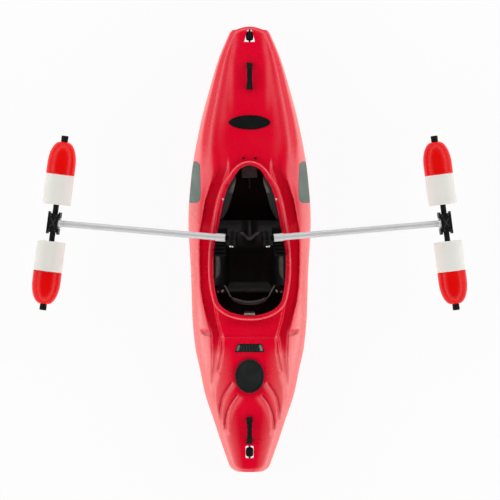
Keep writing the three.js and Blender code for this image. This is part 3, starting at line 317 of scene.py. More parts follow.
END_GREY = grained("strip_grey", srgb(84, 94, 86), srgb(120, 130, 120), 0.7, grain=300, depth=0.0005)
FOAM = foam("pad_foam", srgb(74, 69, 63), srgb(92, 86, 79))
PILLAR_FOAM = foam("pillar_foam", srgb(46, 45, 42), srgb(66, 64, 59))
HOOK_FOAM = foam("hook_foam", srgb(13, 14, 13), srgb(24, 26, 24))
# A paler foam that paints the highlight on the thigh hooks' front parts
HOOK_HIGHLIGHT = foam("hook_painted_highlight", srgb(62, 62, 55), srgb(96, 97, 88))
# A light grey that paints the highlight on the seat's pommel ridges
SEAT_HIGHLIGHT = grained("seat_painted_highlight", srgb(146, 147, 150), srgb(160, 161, 164), 0.42, grain=420, depth=0.0004)
TAB_GREY = woven("tab_webbing", srgb(104, 101, 92), srgb(140, 136, 124), pitch=0.0022)
BAND_CLOTH = woven("band_cloth", srgb(21, 22, 28), srgb(38, 39, 47))
ALUMINIUM = brushed("tube_aluminium", srgb(184, 185, 186), srgb(206, 207, 207), 0.42, (0.6, 30, 30), metal=0.2)
BRIGHT = brushed("bright_metal", srgb(214, 215, 215), srgb(236, 236, 236), 0.34, (20, 3, 20), metal=0.3)
STEEL = brushed("fastener_steel", srgb(176, 178, 180), srgb(208, 209, 210), 0.36, (14, 14, 14), metal=0.8)

# ---------------------------------------------------------------- shapes: pairs of points and faces


def rings(rows, caps=True, closes=False):
    """A skin over rows of points. Each row is a closed ring of the same count."""
    rows = np.asarray(rows, float)
    count, size = rows.shape[:2]
    faces = []
    for i in range(count if closes else count - 1):
        here, after = i * size, ((i + 1) % count) * size
        for k in range(size):
            nxt = (k + 1) % size
            faces.append((here + k, here + nxt, after + nxt, after + k))
    if caps and not closes:
        faces.append(tuple(range(size))[::-1])
        faces.append(tuple(range((count - 1) * size, count * size)))
    return rows.reshape(-1, 3), faces


def lathe(profile, segments=64):
    """A body turned about Y from rows of radius and place. Points on the axis are shared."""
    points, index, faces = [], [], []
    for radius, along_axis in profile:
        if radius <= 1e-7:
            index.append([len(points)] * segments)
            points.append((0, along_axis, 0))
            continue
        index.append(list(range(len(points), len(points) + segments)))
        for k in range(segments):
            angle = 2 * math.pi * k / segments
            points.append((radius * math.cos(angle), along_axis, -radius * math.sin(angle)))
    for here, after in zip(index, index[1:]):
        for k in range(segments):
            nxt = (k + 1) % segments
            face = list(dict.fromkeys((here[k], here[nxt], after[nxt], after[k])))
            if len(face) > 2:
                faces.append(tuple(face))
    return np.array(points, float), faces


def circle(count):
    """Even angles round a whole turn."""
    return np.linspace(0, 2 * math.pi, count, endpoint=False)


def signed_power(value, power):
    return math.copysign(abs(value) ** power, value)


def prism(outline, low, high):
    """An outline in X and Y between two heights."""
    return rings([[(x, y, z) for x, y in outline] for z in (low, high)])


def block(low, high):
    return prism([(low[0], low[1]), (high[0], low[1]), (high[0], high[1]), (low[0], high[1])], low[2], high[2])


def moved(shape, matrix):
    points = np.c_[shape[0], np.ones(len(shape[0]))] @ np.array(matrix).T
    return points[:, :3], shape[1]


def spin(angle, axis):
    return Matrix.Rotation(angle, 4, axis)


def turn(degrees, axis):
    return spin(math.radians(degrees), axis)


def put(x, y, z):
    return Matrix.Translation((x, y, z))


def bolt_head(radius, height):
    """A round bolt head with a socket, on a washer that stands on Z = 0."""
    rim = height * 0.18
    washer = lathe([(0, 0), (radius * 1.35, 0), (radius * 1.35, rim), (0, rim)], 28)
    cap = lathe([
        (0, rim), (radius, rim), (radius, height * 0.8), (radius * 0.86, height),
        (radius * 0.5, height), (radius * 0.46, height * 0.45), (0, height * 0.45),
    ], 24)
    return merged(moved(washer, turn(90, "X")), moved(cap, turn(90, "X")))


def merged(*shapes):
    points, faces, first = [], [], 0
    for shape in shapes:
        points.append(shape[0])
        faces += [tuple(k + first for k in face) for face in shape[1]]
        first += len(shape[0])
    return np.concatenate(points), faces


def read(items, name):
    """One property of a mesh's faces or points, a row of three numbers for each."""
    values = np.empty(len(items) * 3)
    items.foreach_get(name, values)
    return values.reshape(-1, 3)


def outward(mesh):
    """Turns all faces outwards."""
    fix = bmesh.new()
    fix.from_mesh(mesh)
    bmesh.ops.recalc_face_normals(fix, faces=fix.faces)
    fix.to_mesh(mesh)
    fix.free()


def linked(name, data):
    made = bpy.data.objects.new(name, data)
    bpy.context.scene.collection.objects.link(made)
    return made


def piece(name, parts, body, nodes=(), bevel=0.0, matrix=None, sharp=38):
    """One object from shapes and their materials. It rides on a body and may stand for CAD nodes."""
    mesh = bpy.data.meshes.new(name)
    points, faces = merged(*[shape for shape, _ in parts])
    if matrix is not None:
        points, faces = moved((points, faces), matrix)
    mesh.from_pydata(points.tolist(), [], faces)
    looks = list(dict.fromkeys(material for _, material in parts))
    for material in looks:
        mesh.materials.append(material)
    numbers = np.concatenate([[looks.index(material)] * len(shape[1]) for shape, material in parts])
    mesh.polygons.foreach_set("material_index", numbers.astype(np.int32))
    outward(mesh)
    return shown(name, mesh, body, nodes, bevel, sharp)


def shown(name, mesh, body, nodes=(), bevel=0.0, sharp=38):
    """Shows a finished mesh, with edges sharper than so many degrees kept hard or bevelled."""
    made = linked(name, mesh)
    mesh.shade_smooth()
    mesh.set_sharp_from_angle(angle=math.radians(sharp))
    if bevel:
        rounding = made.modifiers.new("rounding", "BEVEL")
        rounding.width = bevel
        rounding.segments = 2
        rounding.limit_method = "ANGLE"
        rounding.angle_limit = math.radians(sharp)
        rounding.harden_normals = True
    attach(made, body)
    if nodes:
        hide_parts(*nodes)
    return made


def paint(made, material, chosen):
    """Gives another material to the faces whose middles the rule picks."""
    made.data.materials.append(material)
    faces = made.data.polygons
    numbers = np.zeros(len(faces), np.int32)
    faces.foreach_get("material_index", numbers)
    numbers[chosen(read(faces, "center"))] = len(made.data.materials) - 1
    faces.foreach_set("material_index", numbers)


def refined(source, name, material, body, bevel, extra=()):
    """The CAD solid of that node with its edges rounded, and details added to it."""
    work = bmesh.new()
    work.from_mesh(frame["nodes"][source].data)
    bmesh.ops.remove_doubles(work, verts=work.verts, dist=1e-5)
    bmesh.ops.dissolve_limit(work, angle_limit=math.radians(1.5), verts=work.verts, edges=work.edges)
    points = np.array([v.co[:] for v in work.verts])
    faces = [tuple(v.index for v in f.verts) for f in work.faces]
    work.free()
    return piece(name, [((points, faces), material), *extra], body, [source], bevel)


# ---------------------------------------------------------------- the boat's surface


def along(rows, place):
    """A smooth line through rows of place and share that never overshoots a row."""
    xs, ys = np.array(rows, float).T
    place = np.clip(place, xs[0], xs[-1])
    step = np.diff(ys) / np.diff(xs)
    inner = [2 * a * b / (a + b) if a * b > 0 else 0 for a, b in zip(step, step[1:])]
    slope = np.array([step[0], *inner, step[-1]])
    i = np.clip(np.searchsorted(xs, place, side="right") - 1, 0, len(xs) - 2)
    width = xs[i + 1] - xs[i]
    t = (place - xs[i]) / width
    rise = ys[i + 1] - ys[i]
    return (ys[i] + width * slope[i] * t + (3 * rise - width * (2 * slope[i] + slope[i + 1])) * t ** 2
            + (width * (slope[i] + slope[i + 1]) - 2 * rise) * t ** 3)


def smooth(value, low=0.0, high=1.0):
    t = np.clip((value - low) / (high - low), 0, 1)
    return t * t * (3 - 2 * t)


def lines(y):
    """The boat's half width, seam, crown and keel at places along it."""
    y = np.asarray(y, float)
    place = y / HALF_LENGTH
    inward = 1 - np.minimum(HALF_LENGTH - np.abs(y), END_RADIUS) / END_RADIUS
    full = END_FACE_SHARE + (1 - END_FACE_SHARE) * np.sqrt(np.clip(1 - inward ** 2, 0, 1))
    seam = along(SEAM_SHARES, place) * HULL_DEPTH
    crown = seam + (along(CROWN_SHARES, place) * HULL_DEPTH - seam) * full
    keel = seam + (along(KEEL_SHARES, place) * HULL_DEPTH - seam) * full
    return along(BEAM_SHARES, place) * HALF_BEAM * full, seam, crown, keel


def near_line(x, y, route):
    """The distance in plan from points to a line of straight stretches."""
    best = np.full(np.broadcast(x, y).shape, 9.0)
    for (ax, ay), (bx, by) in zip(route, route[1:]):
        run, climb = bx - ax, by - ay
        t = np.clip(((x - ax) * run + (y - ay) * climb) / (run * run + climb * climb), 0, 1)
        best = np.minimum(best, np.hypot(x - ax - t * run, y - ay - t * climb))
    return best


def soft_line(x, y, route, width):
    """1 on a line of straight stretches in plan, and softly less beside it."""
    return np.exp(-(near_line(x, y, route) / width) ** 2)


# Moulded details of the stern deck: a route as half width and place along the boat, its width, and its depth or rise
SWEPT_GROOVES = (
    (((0.106, -0.78), (0.121, -0.8), (0.143, -0.832), (0.16, -0.868), (0.1705, -0.92), (0.1735, -0.99)),
     0.009, 0.0055),
    (((0.075, -0.85), (0.098, -0.878), (0.117, -0.909), (0.133, -0.95), (0.1405, -0.99), (0.1425, -1.04)),
     0.009, 0.0055),
    (((0.159, -0.5), (0.16, -0.6), (0.182, -0.7)), 0.006, 0.004),
)
SWEPT_CRESTS = (
    (((0.09, -0.79), (0.118, -0.835), (0.136, -0.875), (0.153, -0.93), (0.156, -1.02)), 0.017, 0.0065),
    (((0.055, -0.87), (0.083, -0.91), (0.101, -0.95), (0.115, -1.0), (0.118, -1.06)), 0.019, 0.0065),
    (((0.175, -0.74), (0.19, -0.8), (0.198, -0.87), (0.19, -0.95)), 0.02, 0.006),
)
STEP_PLACE = -0.505
STEP_HALF_WIDTH = 0.155
STEP_RISE = 0.006
# A leaf-shaped scoop on each shoulder: from its inner to its outer tip, its half width and its depth
SCOOP = ((0.212, -0.493), (0.292, -0.4695), 0.0155, 0.0055)
# Painted shade: where the moulding is sharply creased it is painted darker: routes, half widths and how dark they are
SHADED_CREASES = (
    (SWEPT_GROOVES[0][0], 0.006, 0.45),
    (SWEPT_GROOVES[1][0], 0.006, 0.45),
    (((0.153, -0.55), (0.157, -0.62), (0.18, -0.7)), 0.005, 0.3),
    (((0, -0.505), (0.153, -0.505)), 0.005, 0.3),
    (((0.28, -0.489), (0.25, -0.5), (0.222, -0.5045)), 0.005, 0.9),
)
# How far the painted reflection reaches in from the boat's edge, at places along it
SHEEN_WIDTHS = (
    (-1.3, 0.033), (-1.23, 0.035), (-1.055, 0.045), (-0.88, 0.05), (-0.72, 0.075), (-0.558, 0.08), (-0.44, 0.068),
    (-0.07, 0.054), (0.2, 0.058), (0.45, 0.055), (0.55, 0.043), (0.64, 0.027), (0.874, 0.018), (1.107, 0.009),
    (1.3, 0.006),
)


def plain_deck(across, place, seam, crown):
    """The deck's arched height at a share of the half width, without its crests and grooves."""
    return seam + (crown - seam) * (1 - np.clip(across, 0, 1) ** DECK_POWER) ** DECK_FALL


def in_scoop(side, y):
    """How deep in the leaf-shaped scoop a place is, and how far towards its front edge."""
    (near, near_y), (far, far_y), width, _ = SCOOP
    t = np.clip((side - near) / (far - near), 0, 1)
    leaf = np.sqrt(4 * t * (1 - t))
    off = (y - near_y - (far_y - near_y) * t) / (width * np.maximum(leaf, 0.001))
    return leaf * np.clip(1 - off ** 2, 0, 1), off


def deck_height(x, y):
    """The height of the boat's upper surface over points in plan."""
    half, seam, crown, _ = lines(y)
    side = np.abs(x)
    across = np.clip(side / half, 0, 1)
    place = np.asarray(y) / HALF_LENGTH
    crest, groove, ridge = (along(rows, place) for rows in (CREST_SHARES, GROOVE_SHARES, RIDGE_SHARES))
    depth = np.maximum(along(GROOVE_DEPTH_SHARES, place), 0)
    lift = CREST_RISE * smooth(across / crest)
    lift = np.where(across > crest, CREST_RISE - (CREST_RISE + GROOVE_DEPTH) * smooth(across, crest, groove), lift)
    lift = np.where(across > groove, (RIDGE_RISE + GROOVE_DEPTH) * smooth(across, groove, ridge) - GROOVE_DEPTH, lift)
    lift = np.where(across > ridge, RIDGE_RISE * (1 - smooth(across, ridge, ridge + RIDGE_FADE * (1 - ridge))), lift)
    height = plain_deck(across, place, seam, crown) + lift * depth

    # The sunk band is nearly flat between the rim and the ridge outside it
    near, far = np.interp(y, BAND_PLACES, BAND_INNER), np.interp(y, BAND_PLACES, BAND_OUTER)
    inside = plain_deck(across, place, seam, crown) + CREST_RISE * depth
    rim = RIDGE_RISE * depth * (1 - smooth(side, far, far + RIDGE_FADE * (half - far)))
    outside = plain_deck(np.maximum(across, far / half), place, seam, crown) + rim
    low = plain_deck(far / half, place, seam, crown) + RIDGE_RISE * depth - BAND_DEPTH
    band = low + (inside - low) * (1 - smooth(side, near - 0.013, near + 0.005))
    band = band + (outside - band) * smooth(side, far - 0.011, far + 0.001)
    share = smooth(place, -0.5, -0.36) * (1 - smooth(place, 0.27, 0.44))
    height = height + (band - height) * share

    for route, width, deep in SWEPT_GROOVES:
        height = height - deep * soft_line(side, y, route, width)
    for route, width, rise in SWEPT_CRESTS:
        height = height + rise * soft_line(side, y, route, width)
    step = smooth(-y, -STEP_PLACE, -STEP_PLACE + 0.018) * (1 - smooth(-y, -STEP_PLACE + 0.02, 0.66))
    height = height + STEP_RISE * step * (1 - smooth(side, STEP_HALF_WIDTH - 0.008, STEP_HALF_WIDTH))
    full, off = in_scoop(side, y)
    return height - SCOOP[3] * full * (1 - 0.6 * smooth(off, -0.7, 1))


def deck_frame(x, y):
    """Points on the deck over places in plan, and the deck's normals there."""
    x, y = np.broadcast_arrays(np.asarray(x, float), np.asarray(y, float))
    step = 0.002
    lean_x = (deck_height(x + step, y) - deck_height(x - step, y)) / (2 * step)
    lean_y = (deck_height(x, y + step) - deck_height(x, y - step)) / (2 * step)
    normal = np.stack([-lean_x, -lean_y, np.ones_like(x)], -1)
    return np.stack([x, y, deck_height(x, y)], -1), normal / np.linalg.norm(normal, axis=-1, keepdims=True)


def closed_curve(points, count):
    """A centripetal curve through closed points in plan, sampled at even distances."""
    ring = np.array(points, float)

    def mix(a, b, start, end, t):
        return (a * (end - t) + b * (t - start)) / (end - start)

    fine = []
    for i in range(len(ring)):
        p = [ring[(i + k) % len(ring)] for k in (-1, 0, 1, 2)]
        k = np.r_[0, np.cumsum([math.dist(a, b) ** 0.5 for a, b in zip(p, p[1:])])]
        for t in np.linspace(k[1], k[2], 24, endpoint=False):
            near = [mix(p[j], p[j + 1], k[j], k[j + 1], t) for j in range(3)]
            pair = [mix(near[j], near[j + 1], k[j], k[j + 2], t) for j in range(2)]
            fine.append(mix(pair[0], pair[1], k[1], k[2], t))
    fine = np.array(fine)
    wrapped = np.r_[fine, fine[:1]]
    lengths = np.r_[0, np.cumsum(np.hypot(*np.diff(wrapped, axis=0).T))]
    marks = np.linspace(0, lengths[-1], count, endpoint=False)
    return np.c_[np.interp(marks, lengths, wrapped[:, 0]), np.interp(marks, lengths, wrapped[:, 1])]


EDGE_COUNT = 180
# How much wider the rim is at places along the boat
RIM_WIDTHS = ((-0.4, 1), (-0.05, 1.02), (0.114, 1.3), (0.25, 1.45), (0.36, 1.35), (0.44, 1.05), (0.49, 0.85))
edge_half = [(a * COCKPIT_WIDTH / 2, COCKPIT_FRONT - b * COCKPIT_LENGTH) for a, b in COCKPIT_SHARES]
EDGE = closed_curve(edge_half + [(-x, y) for x, y in edge_half[-2:0:-1]], EDGE_COUNT)
way = np.roll(EDGE, -1, axis=0) - np.roll(EDGE, 1, axis=0)
EDGE_OUT = np.c_[-way[:, 1], way[:, 0]] / np.hypot(*way.T)[:, None]
EDGE_LOOP = [*EDGE, EDGE[0]]


def edge_at(y):
    """The cockpit's half width at a place along the boat."""
    side = EDGE[EDGE[:, 0] > 0]
    side = side[np.argsort(side[:, 1])]
    return np.interp(y, side[:, 1], side[:, 0])


def rim_height(y):
    rise = RIM_FRONT_HEIGHT - RIM_REAR_HEIGHT
    return RIM_REAR_HEIGHT + rise * (y - COCKPIT_FRONT + COCKPIT_LENGTH) / COCKPIT_LENGTH


def round_cockpit(profile):
    """A closed sweep round the cockpit from rows of distance outside its edge and height above the rim's crest."""
    rows = []
    for (x, y), (out_x, out_y) in zip(EDGE, EDGE_OUT):
        rim_width = float(along(RIM_WIDTHS, y))
        row = []
        for out, up in profile:
            wide = rim_width if out > SKIRT_WALL * 1.1 else 1
            row.append((x + out_x * out * wide, y + out_y * out * wide, rim_height(y) + up))
        rows.append(row)
    return rings(rows, closes=True)


def body_rows(wall, deck_columns, hull_columns, pitch):
    """Rings of the whole boat's section, moved inwards by a wall."""
    reach = HALF_LENGTH - (END_WALL if wall else 0)
    inner = HALF_LENGTH - END_RADIUS
    ends = inner + END_RADIUS * np.sin(np.arccos(1 - np.linspace(0.06, 1, 7)))
    places = np.r_[-ends[::-1], np.linspace(-inner, inner, int(2 * inner / pitch)), ends]
    places = np.unique(np.clip(places, -reach, reach))
    across = np.sin(np.linspace(-math.pi / 2, math.pi / 2, deck_columns))
    across = 0.45 * across + 0.55 * np.linspace(-1, 1, deck_columns)
    low_across = np.linspace(1, -1, hull_columns + 2)[1:-1]
    rows = []
    for y in places:
        half, seam, _, keel = lines(y)
        top = np.c_[across * half, deck_height(across * half, np.full(deck_columns, y))]
        side = np.interp(np.abs(np.sin(low_across * math.pi / 2)), *np.array(HULL_SECTION_SHARES).T)
        low = np.c_[np.sin(low_across * math.pi / 2) * half, seam + (keel - seam) * side]
        ring = np.r_[top, low]
        if wall:
            way = np.roll(ring, -1, axis=0) - np.roll(ring, 1, axis=0)
            ring = ring + wall * np.c_[way[:, 1], -way[:, 0]] / np.hypot(*way.T)[:, None]
        rows.append(np.c_[ring[:, 0], np.full(len(ring), y), ring[:, 1]])
    return rows


def plain_object(name, shape):
    mesh = bpy.data.meshes.new(name)
    mesh.from_pydata(shape[0].tolist(), [], shape[1])
    outward(mesh)
    return linked(name, mesh)


def carved(base, steps):
    """The mesh of a shape after joins and cuts in turn."""
    target = plain_object("body", base)
    tools = []
    for kind, shape in steps:
        tool = plain_object("tool", shape)
        tools.append(tool)
        change = target.modifiers.new(kind, "BOOLEAN")
        change.operation = kind
        change.solver = "MANIFOLD"
        change.object = tool
    bpy.context.view_layer.update()
    mesh = bpy.data.meshes.new_from_object(target.evaluated_get(bpy.context.evaluated_depsgraph_get()))
    for extra in (*tools, target):
        bpy.data.objects.remove(extra)
    return mesh


def as_shape(mesh):
    points = read(mesh.vertices, "co")
    faces = [tuple(p.vertices) for p in mesh.polygons]
    bpy.data.meshes.remove(mesh)
    return points, faces


# ---------------------------------------------------------------- camera, lights and floor

camera = linked("camera", bpy.data.cameras.new("camera"))
camera.location = (*CAMERA_PLACE, CAMERA_HEIGHT)
camera.data.sensor_width = SENSOR_WIDTH
camera.data.lens = SENSOR_WIDTH * (CAMERA_HEIGHT - VIEW_LEVEL) / VIEW_WIDTH
bpy.context.scene.camera = camera
bpy.context.scene.view_settings.view_transform = "Standard"

# A dark ceiling over a bright band all round, which dims towards the horizon
world = bpy.data.worlds.new("studio")
bpy.context.scene.world = world
world.use_nodes = True
tree = world.node_tree
split = node(tree, "SeparateXYZ")
tree.links.new(node(tree, "TexCoord").outputs["Generated"], split.inputs["Vector"])
band = ramp(tree, split.outputs["Z"], BAND_LIGHT, CEILING_LIGHT, 0.26, 0.75)
horizon = ramp(tree, split.outputs["Z"], HORIZON_SHARE, 1, 0.14, 0.4)
for level in (band, horizon):
    level.node.interpolation_type = "SMOOTHSTEP"
tree.links.new(combined(tree, "MULTIPLY", band, horizon), tree.nodes["Background"].inputs["Strength"])
tree.nodes["Background"].inputs["Color"].default_value = (1, 1, 1, 1)

# The floor shows white in the picture and in reflections, a little darker where it is shaded
corners = [(x * FLOOR_REACH, y * FLOOR_REACH, 0) for x, y in ((-1, -1), (1, -1), (1, 1), (-1, 1))]
floor = plain_object("floor", (np.array(corners), [(0, 1, 2, 3)]))
floor_look, tree, shader = look("floor", base_color=(0.8, 0.8, 0.8, 1), roughness=0.9)
path = node(tree, "LightPath")
seen = path.outputs["Is Camera Ray"]
for other in ("Is Glossy Ray", "Is Transmission Ray"):
    seen = combined(tree, "MAXIMUM", seen, path.outputs[other])
glow = node(tree, "Emission")
glow.inputs["Strength"].default_value = 1
mixed = node(tree, "MixShader")
tree.links.new(ramp(tree, seen, 0, FLOOR_GLOW), mixed.inputs["Fac"])
tree.links.new(shader.outputs["BSDF"], mixed.inputs[1])
tree.links.new(glow.outputs["Emission"], mixed.inputs[2])
tree.links.new(mixed.outputs["Shader"], tree.nodes["Material Output"].inputs["Surface"])
floor.data.materials.append(floor_look)

# ---------------------------------------------------------------- the boat

CREST_OUT = 0.0244
# The rim's section: distance outside the cockpit's edge, and height above the rim's crest
COAMING = [
    (0, -SKIRT_DEPTH), (0, -0.029), (0.0005, -0.0195), (0.002, -0.0162), (0.0045, -0.015), (0.0085, -0.0141),
    (0.0125, -0.0131), (0.0155, -0.0119), (0.0174, -0.0092), (0.0188, -0.0058), (0.0202, -0.0026), (0.0215, -0.001),
    (0.023, -0.0002), (CREST_OUT, 0), (0.0262, -0.0003), (0.0281, -0.0011), (0.0293, -0.0027), (0.0298, -0.0052),
    (0.0294, -0.0088), (0.0265, -0.0103), (0.0215, -0.0108), (0.0165, -0.0138), (0.0125, -0.0162),
    (0.0098, -0.0195), (0.0082, -0.027), (0.007, -0.037), (0.007, -SKIRT_DEPTH),
]
# The holes for the grab toggles: place, width in front and width behind
TOW_HOLES = ((HALF_LENGTH - 0.055, 0.026, 0.064), (0.118 - HALF_LENGTH, 0.046, 0.046))
HOLE_LENGTH = 0.072
HOLE_WALL = 0.006
BOW_Y, STERN_Y = TOW_HOLES[0][0], TOW_HOLES[1][0]


def hole_column(middle, front_width, rear_width, grown, rounding):
    """An upright column with rounded corners through the end of the boat."""
    rear, front = middle - HOLE_LENGTH / 2 - grown, middle + HOLE_LENGTH / 2 + grown
    wide, narrow = rear_width / 2 + grown, front_width / 2 + grown
    corners = [(-wide, rear), (wide, rear), (narrow, front), (-narrow, front)]
    outline = []
    for i, corner in enumerate(corners):
        before, after = Vector(corners[i - 1]), Vector(corners[(i + 1) % 4])
        here = Vector(corner)
        start = here + (before - here).normalized() * rounding
        end = here + (after - here).normalized() * rounding
        for t in np.linspace(0, 1, 6):
            outline.append(tuple(start * (1 - t) ** 2 + here * 2 * t * (1 - t) + end * t * t))
    return prism(outline, BELOW, ABOVE)


HATCH_Y = -0.738
HATCH_BOSS, HATCH_HOLE, HATCH_CLEAR = (0.1584, 0.1874), (0.1404, 0.1694), (0.1592, 0.1882)  # widths and lengths
HATCH_TOP = float(lines(HATCH_Y)[2])
HATCH_SPAN = 0.02
HATCH_RISE = float(lines(HATCH_Y + HATCH_SPAN)[2] - lines(HATCH_Y - HATCH_SPAN)[2])
HATCH_SLOPE = math.atan2(HATCH_RISE, 2 * HATCH_SPAN)
HATCH_FRAME = put(0, HATCH_Y, HATCH_TOP) @ spin(HATCH_SLOPE, "X")


def hatch_column(width, length, low, high):
    """An oval column square to the deck at the hatch."""
    ring = [(width / 2 * math.cos(a), length / 2 * math.sin(a)) for a in circle(72)]
    return moved(prism(ring, low, high), HATCH_FRAME)


BOW_FLAT = (0.083, 1.2805)  # half width of the bow's blunt end, and the place where its corners start


def bow_corner(side):
    """What is cut off the bow beside its dome."""
    flat, reach = BOW_FLAT
    dome = [(side * flat * t, reach + 0.0196 * math.cos(t * math.pi / 2) ** 1.15) for t in np.linspace(1, 0, 17)]
    outline = dome + [(0, 1.34), (side * 0.2, 1.34), (side * 0.2, reach)]
    return prism(outline if side > 0 else outline[::-1], BELOW, ABOVE)


def hidden_faces(centres, normals):
    """1 for a face on the boat's inside, away from the rim and the walls of the two holes, else 0; these faces get
    painted shade.
    """
    x, y, z = centres.T
    half, seam, crown, keel = lines(y)
    tall = np.where(z > seam, crown - seam, seam - keel)
    inwards = normals[:, 0] * x / half + normals[:, 2] * (z - seam) / tall < 0
    rim = (near_line(x, y, EDGE_LOOP) < 0.013) & (z > rim_height(y) - SKIRT_DEPTH - 0.001)
    ends = (np.abs(y - BOW_Y) < 0.05) | (np.abs(y - STERN_Y) < 0.05)
    return (inwards & (z < deck_height(x, y) - 0.003) & ~rim & ~ends).astype(np.int32)


outer = rings(body_rows(0, 201, 61, ROW_PITCH))
inner = rings(body_rows(HULL_WALL, 71, 31, 0.03))
walls = [as_shape(carved(hole_column(*hole, HOLE_WALL, 0.01), [("INTERSECT", outer)])) for hole in TOW_HOLES]
skin = carved(outer, [
    ("DIFFERENCE", inner),
    ("DIFFERENCE", prism([tuple(p) for p in EDGE + EDGE_OUT * SKIRT_WALL / 2], 0.19, 0.45)),
    ("UNION", round_cockpit(COAMING)),
    ("UNION", hatch_column(*HATCH_BOSS, -0.015, 0.009)),
    ("DIFFERENCE", hatch_column(*HATCH_HOLE, -0.04, 0.04)),
    *[("UNION", wall) for wall in walls],
    *[("DIFFERENCE", hole_column(*hole, 0, 0.006)) for hole in TOW_HOLES],
    *[("DIFFERENCE", bow_corner(end)) for end in (1, -1)],
])
# The inner faces get the near-black red: painted shade inside the hull
skin.materials.clear()
for material in (RED, SHADED_INSIDE_RED):
    skin.materials.append(material)
hidden = hidden_faces(read(skin.polygons, "center"), read(skin.polygons, "normal"))
skin.polygons.foreach_set("material_index", hidden)


def mark(name, values):
    """Keeps a share for each of the skin's points, which its material reads by name."""
    skin.attributes.new(name, "FLOAT", "POINT").data.foreach_set("value", values.astype(np.float32))


corners = read(skin.vertices, "co")
x, y, z = corners.T
side = np.abs(x)
half, seam, _, _ = lines(y)
# Painted shade: darker along the creases, and a little darker in the sunk band round the cockpit
crease_shade = np.zeros(len(corners))
for route, width, dark in SHADED_CREASES:
    crease_shade = np.maximum(crease_shade, dark * soft_line(side, y, route, width))
near, far = (np.interp(y, BAND_PLACES, band, left=0, right=0) for band in (BAND_INNER, BAND_OUTER))
sunk = smooth(side, near - 0.03, near) * (1 - smooth(side, far - 0.006, far + 0.002))
sunk = sunk * smooth(y, -0.62, -0.5) * (1 - smooth(y, 0.42, 0.56))
crease_shade = np.maximum(crease_shade, 0.14 * sunk) * smooth(z - deck_height(x, y), -0.014, -0.005)
mark("crease_shade", crease_shade)

# Painted reflection: pale shoulders along the edge and a pale stern from the middle outwards; painted highlights on
# crests
width = along(SHEEN_WIDTHS, y)
painted_sheen = (1 - smooth(half - side, 0.6 * width, 1.45 * width)) * smooth(z, seam - 0.03, seam + 0.02)
crest_sheen = np.clip((side / half - 0.3) / 0.7, 0, 1) ** 1.3
for (route, width, _), share in zip(SWEPT_CRESTS, (0.5, 0.4, 0.6)):
    crest_sheen = np.maximum(crest_sheen, share * soft_line(side, y, route, 0.7 * width))
for route, width, _ in SWEPT_GROOVES[:2]:
    crest_sheen = crest_sheen * (1 - 0.8 * soft_line(side, y, route, 1.4 * width))
painted_sheen = np.maximum(painted_sheen, crest_sheen * smooth(-y, 0.54, 0.62) * smooth(z, seam - 0.03, seam + 0.02))
bow_crest = soft_line(side, y, ((0.112, 0.7), (0.105, 1.16)), 0.014)
painted_sheen = np.maximum(painted_sheen, 0.2 * bow_crest * smooth(y, 0.76, 0.92) * (1 - smooth(y, 1.0, 1.14)))
painted_sheen = 0.82 * painted_sheen * np.maximum(smooth(side, far - 0.001, far + 0.012), smooth(-y, 0.5, 0.66))
painted_sheen = painted_sheen * (1 - 0.85 * smooth(in_scoop(side, y)[0], 0, 0.4))

# Painted highlight: the rim's crest is painted pale all round the cockpit
near_crest = near_line(x, y, EDGE_LOOP) - CREST_OUT * along(RIM_WIDTHS, y)
on_rim = (z > rim_height(y) - 0.003) & (np.abs(near_crest) < 0.01) & (y > -0.45) & (y < 0.55)
painted_sheen = np.where(on_rim, 0.62 * np.exp(-(near_crest / 0.0034) ** 2), painted_sheen)
mark("painted_sheen", painted_sheen)
shown("boat_skin", skin, "boat", ["hull_shell", "deck_shell"], sharp=32)


def leaned(up):
    """The turn that takes Z to another direction."""
    return Vector((0, 0, 1)).rotation_difference(up).to_matrix().to_4x4()


def on_surface(x, y, shape):
    """Stands a small fitting upright on the deck's surface."""
    place, up = deck_frame(x, y)
    return moved(shape, put(*(place + up * TIGHT)) @ leaned(Vector(up)))


def sheet_pair(top, low):
    """A closed body between two grids of points."""
    rows, columns = top.shape[:2]

    def index(i, k, under=0):
        return under * rows * columns + i * columns + k

    faces = []
    for i in range(rows - 1):
        for k in range(columns - 1):
            faces.append((index(i, k), index(i, k + 1), index(i + 1, k + 1), index(i + 1, k)))
            faces.append((index(i, k, 1), index(i + 1, k, 1), index(i + 1, k + 1, 1), index(i, k + 1, 1)))
    for i in range(rows - 1):
        for k in (0, columns - 1):
            faces.append((index(i, k), index(i + 1, k), index(i + 1, k, 1), index(i, k, 1)))
    for k in range(columns - 1):
        for i in (0, rows - 1):
            faces.append((index(i, k), index(i, k + 1), index(i, k + 1, 1), index(i, k, 1)))
    return np.concatenate([top.reshape(-1, 3), low.reshape(-1, 3)]), faces


def draped(rows, columns, point, thickness):
    """A layer on the deck: a grid of places in plan with a thickness at each, closed underneath."""
    v, u = np.meshgrid(columns, rows)
    place, up = deck_frame(*point(u, v))
    low = place + up * TIGHT
    return sheet_pair(low + up * thickness(u, v)[..., None], low)


